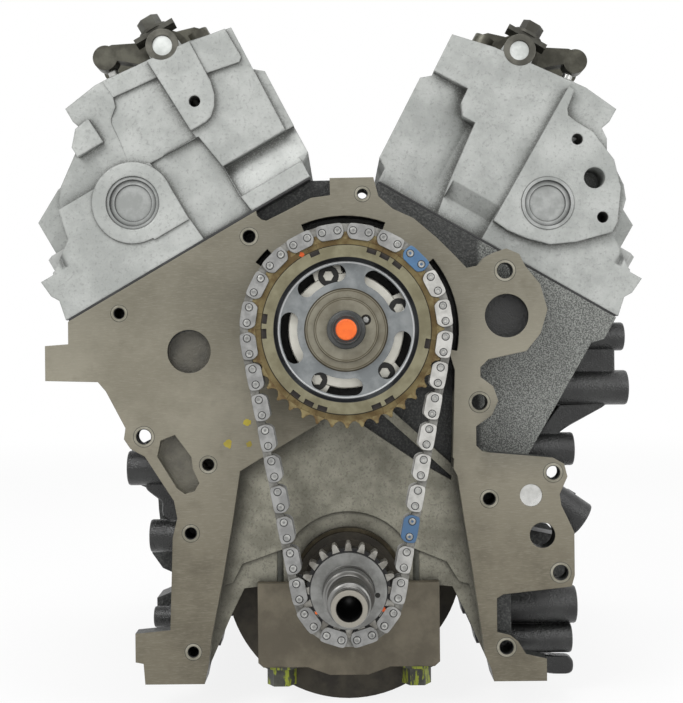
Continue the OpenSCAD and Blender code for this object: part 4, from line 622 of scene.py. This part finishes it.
def chain_point(distance):
    """Point on the chain line, clockwise from the top of the cam sprocket."""
    d = distance % CHAIN_LENGTH
    right = math.pi / 2 + WRAP
    left = 3 * math.pi / 2 - WRAP
    if d < ARC_CAM / 2:
        return on_circle(CAM_PITCH_R, CAM_Z, d / CAM_PITCH_R)
    d -= ARC_CAM / 2
    if d < STRAND:
        return on_circle(CAM_PITCH_R, CAM_Z, right).lerp(on_circle(CRANK_PITCH_R, 0, right), d / STRAND)
    d -= STRAND
    if d < ARC_CRANK:
        return on_circle(CRANK_PITCH_R, 0, right + d / CRANK_PITCH_R)
    d -= ARC_CRANK
    if d < STRAND:
        return on_circle(CRANK_PITCH_R, 0, left).lerp(on_circle(CAM_PITCH_R, CAM_Z, left), d / STRAND)
    d -= STRAND
    return on_circle(CAM_PITCH_R, CAM_Z, left + d / CAM_PITCH_R)


PINS = [chain_point(CHAIN_LENGTH * (i + 0.5) / LINKS) for i in range(LINKS)]
HALF = PITCH / 2
PLATE_OUT = 4.6 * MM
PLATE_IN = 5.3 * MM
PLATE_END = 3.7 * MM
PLATE_T = 1.25 * MM
GUIDE_OUTLINE = rounded([(-HALF - PLATE_END, 1.1 * MM), (-HALF - PLATE_END + 0.6 * MM, PLATE_OUT - 0.5 * MM),
                         (-HALF, PLATE_OUT), (HALF, PLATE_OUT),
                         (HALF + PLATE_END - 0.6 * MM, PLATE_OUT - 0.5 * MM), (HALF + PLATE_END, 1.1 * MM),
                         (HALF + PLATE_END, -PLATE_IN + 3.2 * MM), (HALF + 1.2 * MM, -PLATE_IN),
                         (-HALF - 1.2 * MM, -PLATE_IN), (-HALF - PLATE_END, -PLATE_IN + 3.2 * MM)], 1.5 * MM)
BACK_OUTLINE = rounded([(-HALF - 3.9 * MM, -1.0 * MM), (-HALF - 3.2 * MM, 3.3 * MM),
                        (-HALF, PLATE_OUT - 0.25 * MM), (HALF, PLATE_OUT - 0.25 * MM),
                        (HALF + 3.2 * MM, 3.3 * MM), (HALF + 3.9 * MM, -1.0 * MM),
                        (HALF + 1.5 * MM, -3.9 * MM), (HALF - 1.4 * MM, -3.9 * MM),
                        (HALF - 1.6 * MM, -0.8 * MM), (-HALF + 1.6 * MM, -0.8 * MM),
                        (-HALF + 1.4 * MM, -3.9 * MM), (-HALF - 1.5 * MM, -3.9 * MM)], 0.9 * MM, 3)
REAR_PLATE = CHAIN_Y + 5.75 * MM

# Places of the two blue plates on the right side of the chain: X and Z
BLUE_SPOTS = ((39.5 * MM, 205.6 * MM), (39.0 * MM, 40.0 * MM))


def link_outline(i, outline):
    """Places an outline, drawn along a link with the outside up, on link i."""
    start = PINS[i]
    end = PINS[(i + 1) % LINKS]
    middle = (start + end) / 2
    along = (end - start).normalized()
    outward = Vector((-along[1], along[0]))
    return [middle + along * p[0] + outward * p[1] for p in outline]


def link_middle(i):
    return (PINS[i] + PINS[(i + 1) % LINKS]) / 2


GUIDE_LINKS = range(0, LINKS, 2)
BLUE_LINKS = [min(GUIDE_LINKS, key=lambda i: (link_middle(i) - Vector(spot)).length) for spot in BLUE_SPOTS]


def guide_plates(shape):
    for i in GUIDE_LINKS:
        face = 2 if i in BLUE_LINKS else 0
        outline = link_outline(i, GUIDE_OUTLINE)
        # Slot 1, the darker side steel, paints a shade outline round each plain guide plate's face
        add_prism(shape, outline, PLATE_FRONT, PLATE_FRONT + PLATE_T, 0.28 * MM, face, face if face else 1)
        add_prism(shape, outline, REAR_PLATE, REAR_PLATE + PLATE_T, 0, 0)


def toothed_plates(shape):
    for i in range(LINKS):
        spans = [(-1.4, 1.4)] if i % 2 == 0 else [(-5.5, -3.6), (-3.5, -1.6), (1.6, 3.5), (3.6, 5.5)]
        for y0, y1 in spans:
            add_prism(shape, link_outline(i, BACK_OUTLINE), CHAIN_Y + y0 * MM, CHAIN_Y + y1 * MM, 0.12 * MM)


RIVET_PROFILE = [(0, 0.35), (0.55, 0.30), (0.95, -0.35), (1.75, -0.40), (2.05, -0.05), (2.05, -0.02),
                 (2.5, -0.02)]
PIN_R = 1.6 * MM
PIN_LENGTH = 14 * MM


def rivets(shape):
    """Riveted pin ends: a dimple, a bright ring and a dark joint round it."""
    profile = [(r * MM, d * MM) for r, d in RIVET_PROFILE]
    for pin in PINS:
        add_lathe(shape, profile, (pin[0], PLATE_FRONT, pin[1]), (0, 1, 0), 20, [1, 0, 0, 0, 1, 1])
        add_lathe(shape, [(0, 0), (PIN_R, 0), (PIN_R, PIN_LENGTH), (0, PIN_LENGTH)],
                  (pin[0], PLATE_FRONT + 0.5 * MM, pin[1]), (0, 1, 0), 12)


# Darker steel for the plates' sides and the toothed plates; round the guide plates' faces it is a painted
# shade outline
CHAIN_SIDE = machined("chain_plate_edge", (0.25, 0.246, 0.228), (0.12, 0.117, 0.105), 0.4, 0.5, 0.2 * MM,
                      200)
chain = new_piece("chain_guide_plates", guide_plates, "engine_block", CHAIN_PLATE, CHAIN_SIDE, BLUE)
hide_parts("timing_chain")
new_piece("chain_toothed_plates", toothed_plates, "engine_block", CHAIN_SIDE)
new_piece("chain_rivets", rivets, "engine_block", RIVET, GAP_AND_SHADE_BLACK)


# Pointed teeth over the solid teeth of both sprockets
TOOTH_WIDTH = 11 * MM
TOOTH_OVER = 0.05 * MM


def add_teeth(shape, count, first, centre_z, profile):
    """Teeth whose flanks follow (half width, radius) points, from root to tip."""
    for i in range(count):
        angle = first + TURN * i / count
        up = Vector((math.sin(angle), math.cos(angle)))
        across = Vector((up[1], -up[0]))
        centre = Vector((0, centre_z))
        flank = [centre + up * r * MM - across * w * MM for w, r in profile]
        other = [centre + up * r * MM + across * w * MM for w, r in reversed(profile)]
        add_prism(shape, flank + other, TOOTH_FRONT - TOOTH_OVER, TOOTH_FRONT + TOOTH_WIDTH + TOOTH_OVER,
                  0.25 * MM)


# Half width and radius along a flank, in mm
CAM_TOOTH = [(3.9, 55.2), (3.3, 56.2), (1.9, 57.5), (1.0, 59.2), (0.7, 60.1)]
CRANK_TOOTH = [(2.5, 23.8), (2.1, 25.2), (1.75, 27.0), (1.3, 28.6), (0.8, 29.25)]
crank_half_link = max((link_middle(i) for i in range(LINKS)), key=lambda m: -m[1])
CRANK_FIRST = math.atan2(crank_half_link[0], crank_half_link[1])
new_piece("cam_sprocket_tooth_flanks", lambda b: add_teeth(b, CAM_TEETH, 0, CAM_Z, CAM_TOOTH),
          "cam_assembly", TOOTH)
new_piece("crank_sprocket_tooth_flanks", lambda b: add_teeth(b, CRANK_TEETH, CRANK_FIRST, 0, CRANK_TOOTH),
          "crank_assembly", PALE_TOOTH)


# Crankshaft: the solid forging with its front end turned in steps of radius and distance, in mm
SNOUT_START = CHAIN_Y - 8.7 * MM
SNOUT_END = cad_low[1]
SNOUT_STEPS = [(0, 1.0), (16.0, 1.0), (16.0, 0), (15.6, -0.6), (15.6, -4.5), (14.9, -5.0), (14.9, -6.5),
               (15.5, -7.0), (15.5, -19.0), (15.0, -19.6), (13.0, -20.4), (12.8, -21.5), (12.8, -43.5),
               (12.2, -44.3), (10.8, -44.8)]


def crank_with_snout(shape):
    shape.from_mesh(nodes["crankshaft"].data)
    shape.transform(nodes["crankshaft"].matrix_world)
    bmesh.ops.bisect_plane(shape, geom=shape.verts[:] + shape.edges[:] + shape.faces[:], dist=1e-7,
                           plane_co=(0, SNOUT_START, 0), plane_no=(0, -1, 0), clear_outer=True)
    profile = [(r * MM, d * MM) for r, d in SNOUT_STEPS]
    end = SNOUT_END - SNOUT_START
    profile += [(10.6 * MM, end + 0.5 * MM), (10.2 * MM, end), (7.9 * MM, end), (7.3 * MM, end + 0.6 * MM),
                (7.3 * MM, end + 30 * MM), (0, end + 31 * MM)]
    add_lathe(shape, profile, (0, SNOUT_START, 0), (0, 1, 0), 72)


crank = new_piece("crankshaft_forging", crank_with_snout, "crank_assembly", CRANK)
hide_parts("crankshaft")


# Countersunk rims round the drilled holes of the front face, with painted shade down the holes' walls: X, Z
# and hole radius in mm
FACE_HOLES = [(-60.3, 218.5, 4.1), (88.8, 52.5, 4.1), (-142.3, 171, 3.6), (-97.7, -41.8, 3.6),
              (-127.5, 93.5, 4.9), (133.2, 5.8, 4.9), (-87.3, 75.6, 3.9), (-98.6, 32.6, 3.9),
              (100, 195.6, 5), (83.3, 113.2, 5),
              (129, 68.6, 4.5), (98.8, -40.7, 4.5), (11, 244.5, 3.3)]


def hole_rims(shape):
    for x, z, r in FACE_HOLES:
        profile = [(r - 0.45, 1.6), (r - 0.4, 0.4), (r + 0.1, -0.04), (r + 1.35, -0.10), (r + 1.55, -0.06),
                   (r + 1.9, 0.01)]
        add_lathe(shape, [(a * MM, b * MM) for a, b in profile], (x * MM, FACE_Y, z * MM), (0, 1, 0), 40,
                  [1, 1, 0, 0, 1])


new_piece("face_hole_rims", hole_rims, "engine_block", HOLE_RIM, GAP_AND_SHADE_BLACK)


# Cam bolt: black head with an orange painted recess
CAM_BOLT_Y = CHAIN_Y - 15.0 * MM


def cam_bolt(shape):
    profile = [(0, -2.2), (5.6, -2.4), (6.2, -2.0), (6.5, -0.5), (7.2, -0.2), (8.4, -1.0), (9.0, -0.4),
               (9.3, 3.0), (11.0, 3.2), (11.8, 4.0), (12.0, 9.0), (0, 9.0)]
    add_lathe(shape, [(r * MM, d * MM) for r, d in profile], (0, CAM_BOLT_Y, CAM_Z), (0, 1, 0), 48,
              [0, 0, 0, 1, 1, 1, 1, 1, 1, 1, 1])


bolt = new_piece("cam_bolt_head", cam_bolt, "cam_assembly", ORANGE, BLACK_PAINT)
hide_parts("cam_sprocket_bolt")


def drive_pin(shape):
    add_lathe(shape, [(0, 0), (1.4 * MM, 0), (1.9 * MM, 0.5 * MM), (1.9 * MM, 4 * MM), (0, 4 * MM)],
              (PIN_X, CHAIN_Y - 6.9 * MM, PIN_Z), (0, 1, 0), 24)


new_piece("cam_sprocket_drive_pin", drive_pin, "cam_assembly", RIVET)


# Bright ground face of the cam thrust plate, seen through the sprocket's windows
def thrust_face(shape):
    profile = [(17.0, 0.6), (17.3, 0.1), (35.9, 0.1), (36.5, 0.6), (36.5, 4.0), (17.0, 4.0), (17.0, 0.6)]
    add_lathe(shape, [(r * MM, d * MM) for r, d in profile], (0, FACE_Y + 3.3 * MM, CAM_Z), (0, 1, 0), 72)


new_piece("thrust_plate_face", thrust_face, "engine_block", THRUST_PLATE)


# Cast bosses on the block's sides, as start, end, radius and bore radius, and the webs between them, in mm
BOSS_Y = FACE_Y / MM + 42
SIDE_BOSSES = [((135, 154), (182, 154), 9.3, 5.5), ((118, 120.5), (184, 120.5), 11.4, 7.0),
               ((100, 80.5), (148.4, 80.5), 10.9, 6.5), ((112, 62), (154, 33), 12.0, 7.0),
               ((96, -21.6), (149, -21.6), 12.4, 8.0), ((96, -43.5), (146, -43.5), 9.8, 6.0),
               ((-96, 70.5), (-143.6, 70.5), 11.4, 7.0), ((-92, 25.8), (-129.4, 25.8), 10.8, 6.5),
               ((-96, -27.5), (-127.5, -27.5), 7.0, 4.0)]
WEBS = [[(120, 108), (172, 109), (176, 118), (176, 150), (140, 160)],
        [(104, 62), (142.5, 94), (172, 110), (150, 124)],
        [(100, -48), (132, -55), (147, -55.5), (147, -67), (132, -67), (100, -58)],
        [(-100, 34), (-116, 34), (-122, 40), (-121, 48), (-134, 58), (-120, 78), (-98, 78)],
        [(-100, -14), (-118, -19), (-124, -34), (-100, -40)]]


def side_bosses(shape):
    for (x0, z0), (x1, z1), r, bore in SIDE_BOSSES:
        start = Vector((x0, BOSS_Y, z0)) * MM
        along = Vector((x1 - x0, 0, z1 - z0)) * MM
        end = along.length / MM
        profile = [(r, 0), (r, end - 1.5), (r - 0.5, end - 0.4), (r - 1.6, end), (bore + 0.8, end),
                   (bore, end - 0.8), (bore, end - 16), (0, end - 17)]
        add_lathe(shape, [(a * MM, b * MM) for a, b in profile], start, along, 40)
    for web in WEBS:
        outline = [p * MM for p in rounded(web, 5)]
        add_prism(shape, outline, (BOSS_Y - 4) * MM, (BOSS_Y + 6) * MM, 1.2 * MM)


new_piece("side_casting_bosses", side_bosses, "engine_block", BOSS_PAINT)


# Paint dabs: X, Y, Z and radius in mm
DAB_CORNERS = 18


def add_dab(shape, x, y, z, radius):
    """Thin uneven spot of paint on a surface that faces the front."""
    rim = []
    for i in range(DAB_CORNERS):
        angle = TURN * i / DAB_CORNERS
        reach = radius * random.uniform(0.65, 1.1)
        rim.append((x * MM + reach * MM * math.sin(angle), z * MM + reach * MM * math.cos(angle)))
    add_prism(shape, rim, (y - 0.08) * MM, (y + 0.3) * MM, 0.05 * MM)


TOOTH_Y = TOOTH_FRONT / MM
YELLOW_DABS = [(-62.6, FACE_Y / MM, 102.0, 2.6), (-61.5, FACE_Y / MM, 88.0, 2.2),
               (-75.0, FACE_Y / MM, 88.5, 3.0)]


def orange_on_chain(shape):
    add_dab(shape, 21.0, PLATE_FRONT / MM, -11.5, 1.6)
    add_dab(shape, -19.5, PLATE_FRONT / MM, -13.0, 1.3)


def yellow_dabs(shape):
    for dab in YELLOW_DABS:
        add_dab(shape, *dab)


new_piece("orange_cam_dab", lambda b: add_dab(b, -26.6, TOOTH_Y, 205.0, 1.9), "cam_assembly", ORANGE)
new_piece("orange_chain_dabs", orange_on_chain, "engine_block", ORANGE)
new_piece("yellow_dabs", yellow_dabs, "engine_block", YELLOW)


# Valve springs: round wire coils, each as long as the CAD spring beside its rocker
WIRE_R = 2.1 * MM
COIL_R = 13.9 * MM
SPRING_TURNS = 5
STEPS_PER_TURN = 28
WIRE_SIDES = 12
# Furthest that a spring's corners lie from its rocker along the crank
SPRING_REACH = 16 * MM


def spring_points(rocker):
    """Corners of the solid spring beside a rocker."""
    side = math.copysign(1, rocker["pos_m"][0])
    mesh = nodes["valve_springs"].data
    return [v.co for v in mesh.vertices
            if v.co[0] * side > 0 and abs(v.co[1] - rocker["pos_m"][1]) < SPRING_REACH]


def spring_coil(start, along, length):
    """Mesh maker for a coil of round wire along the valve's axis."""
    def make(shape):
        across = along.orthogonal().normalized()
        third = along.cross(across)
        steps = SPRING_TURNS * STEPS_PER_TURN
        rings = []
        for i in range(steps + 1):
            t = i / steps
            angle = TURN * SPRING_TURNS * t
            out = across * math.cos(angle) + third * math.sin(angle)
            centre = start + along * (WIRE_R + (length - 2 * WIRE_R) * t) + out * (COIL_R - WIRE_R)
            rings.append([shape.verts.new(centre + out * WIRE_R * math.cos(TURN * j / WIRE_SIDES)
                                          + along * WIRE_R * math.sin(TURN * j / WIRE_SIDES))
                          for j in range(WIRE_SIDES)])
        for a, b in zip(rings, rings[1:]):
            for j in range(WIRE_SIDES):
                shape.faces.new((a[j], a[(j + 1) % WIRE_SIDES], b[(j + 1) % WIRE_SIDES], b[j]))
        shape.faces.new(rings[0])
        shape.faces.new(list(reversed(rings[-1])))
    return make


SPRING_STEEL = machined("spring_steel", (0.16, 0.155, 0.14), (0.07, 0.068, 0.06), 0.36, 0.7)
for number in range(1, 13):
    slide = joints[f"valve_slide_{number}"]
    points = spring_points(joints[f"rocker_pivot_{number}"])
    up = -Vector(slide["axis"]).normalized()
    heights = [p.dot(up) for p in points]
    bottom = min(heights)
    length = max(heights) - bottom
    middle = sum(points, Vector()) / len(points)
    seat = middle + up * (bottom - middle.dot(up))
    spring = new_piece(f"valve_spring_{number}", spring_coil(seat, up, length), "engine_block", SPRING_STEEL)
    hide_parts("valve_springs")
    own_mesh(spring)


# Floor and background
FLOOR_SIZE = 40
SEEN_SHARE = 0.86
bpy.ops.mesh.primitive_plane_add(size=FLOOR_SIZE, location=(0, 0, GROUND - 0.5 * MM))
floor = bpy.context.object
floor.name = "floor"


def seen_rays(tree):
    """1 for rays of the camera, reflections and glass, and 0 for rays that carry light to the object."""
    path = tree.nodes.new("ShaderNodeLightPath")
    seen = path.outputs["Is Camera Ray"]
    for kind in ("Is Glossy Ray", "Is Transmission Ray"):
        either = tree.nodes.new("ShaderNodeMath")
        either.operation = "MAXIMUM"
        tree.links.new(seen, either.inputs[0])
        tree.links.new(path.outputs[kind], either.inputs[1])
        seen = either.outputs[0]
    return seen


def stage_material(name, colour):
    """Pale matt floor that is seen as white, with a soft shadow that ends before the floor does."""
    s = Shader(name)
    s.finish(colour, 0.9)
    glow = s.node("ShaderNodeEmission", Color=(1.0, 1.0, 1.0), Strength=1.0)
    x, y, z = s.axes()
    away = s.math("SQRT", s.math("ADD", s.math("MULTIPLY", x, x), s.math("MULTIPLY", y, y)))
    share = s.smooth(away, 0.8, 2.6, SEEN_SHARE, 1.0)
    mix = s.node("ShaderNodeMixShader", Fac=s.math("MULTIPLY", seen_rays(s.tree), share))
    s.plug(mix.inputs[1], s.bsdf.outputs[0])
    s.plug(mix.inputs[2], glow.outputs[0])
    s.plug(s.tree.nodes["Material Output"].inputs["Surface"], mix.outputs[0])
    return s.mat


floor.data.materials.append(stage_material("floor_white", (0.92, 0.92, 0.92)))

WORLD_LIGHT = 0.55
world = bpy.data.worlds.new("studio")
bpy.context.scene.world = world
world.use_nodes = True
tree = world.node_tree
back = tree.nodes["Background"]
back.inputs["Color"].default_value = (1, 1, 1, 1)
level = tree.nodes.new("ShaderNodeMapRange")
level.inputs[3].default_value = WORLD_LIGHT
level.inputs[4].default_value = 1.0
tree.links.new(seen_rays(tree), level.inputs[0])
tree.links.new(level.outputs[0], back.inputs["Strength"])


def lamp(name, place, aim, size, power):
    data = bpy.data.lights.new(name, "AREA")
    data.shape = "RECTANGLE"
    data.size = size[0]
    data.size_y = size[1]
    data.energy = power
    made = bpy.data.objects.new(name, data)
    bpy.context.collection.objects.link(made)
    made.location = place
    made.rotation_euler = (Vector(aim) - Vector(place)).to_track_quat("-Z", "Y").to_euler()


ENGINE = (0.0, -0.3, 0.12)
lamp("key", (-0.9, -1.5, 1.3), ENGINE, (0.9, 0.7), 17)
lamp("fill", (1.3, -1.3, 0.7), ENGINE, (1.0, 1.0), 9)
lamp("top", (0.1, -0.2, 1.7), ENGINE, (1.4, 1.0), 12)

# Camera: on a line 146 mm above the crank, 835 mm before the chain, with the photograph's slight roll
CAMERA_BACK = 0.835
CAMERA_X = -0.003
CAMERA_Z = 0.1458
ROLL = math.radians(0.55)
PHOTO_SIDE = 703
FOCAL_PIXELS = 1360
SENSOR = 36
camera_data = bpy.data.cameras.new("camera")
camera = bpy.data.objects.new("camera", camera_data)
bpy.context.collection.objects.link(camera)
camera.location = (CAMERA_X, CHAIN_Y - CAMERA_BACK, CAMERA_Z)
camera.rotation_euler = (Matrix.Rotation(ROLL, 4, "Y") @ Matrix.Rotation(math.pi / 2, 4, "X")).to_euler()
camera_data.sensor_width = SENSOR
camera_data.lens = FOCAL_PIXELS / PHOTO_SIDE * SENSOR
bpy.context.scene.camera = camera

bpy.context.scene.view_settings.view_transform = "Standard"
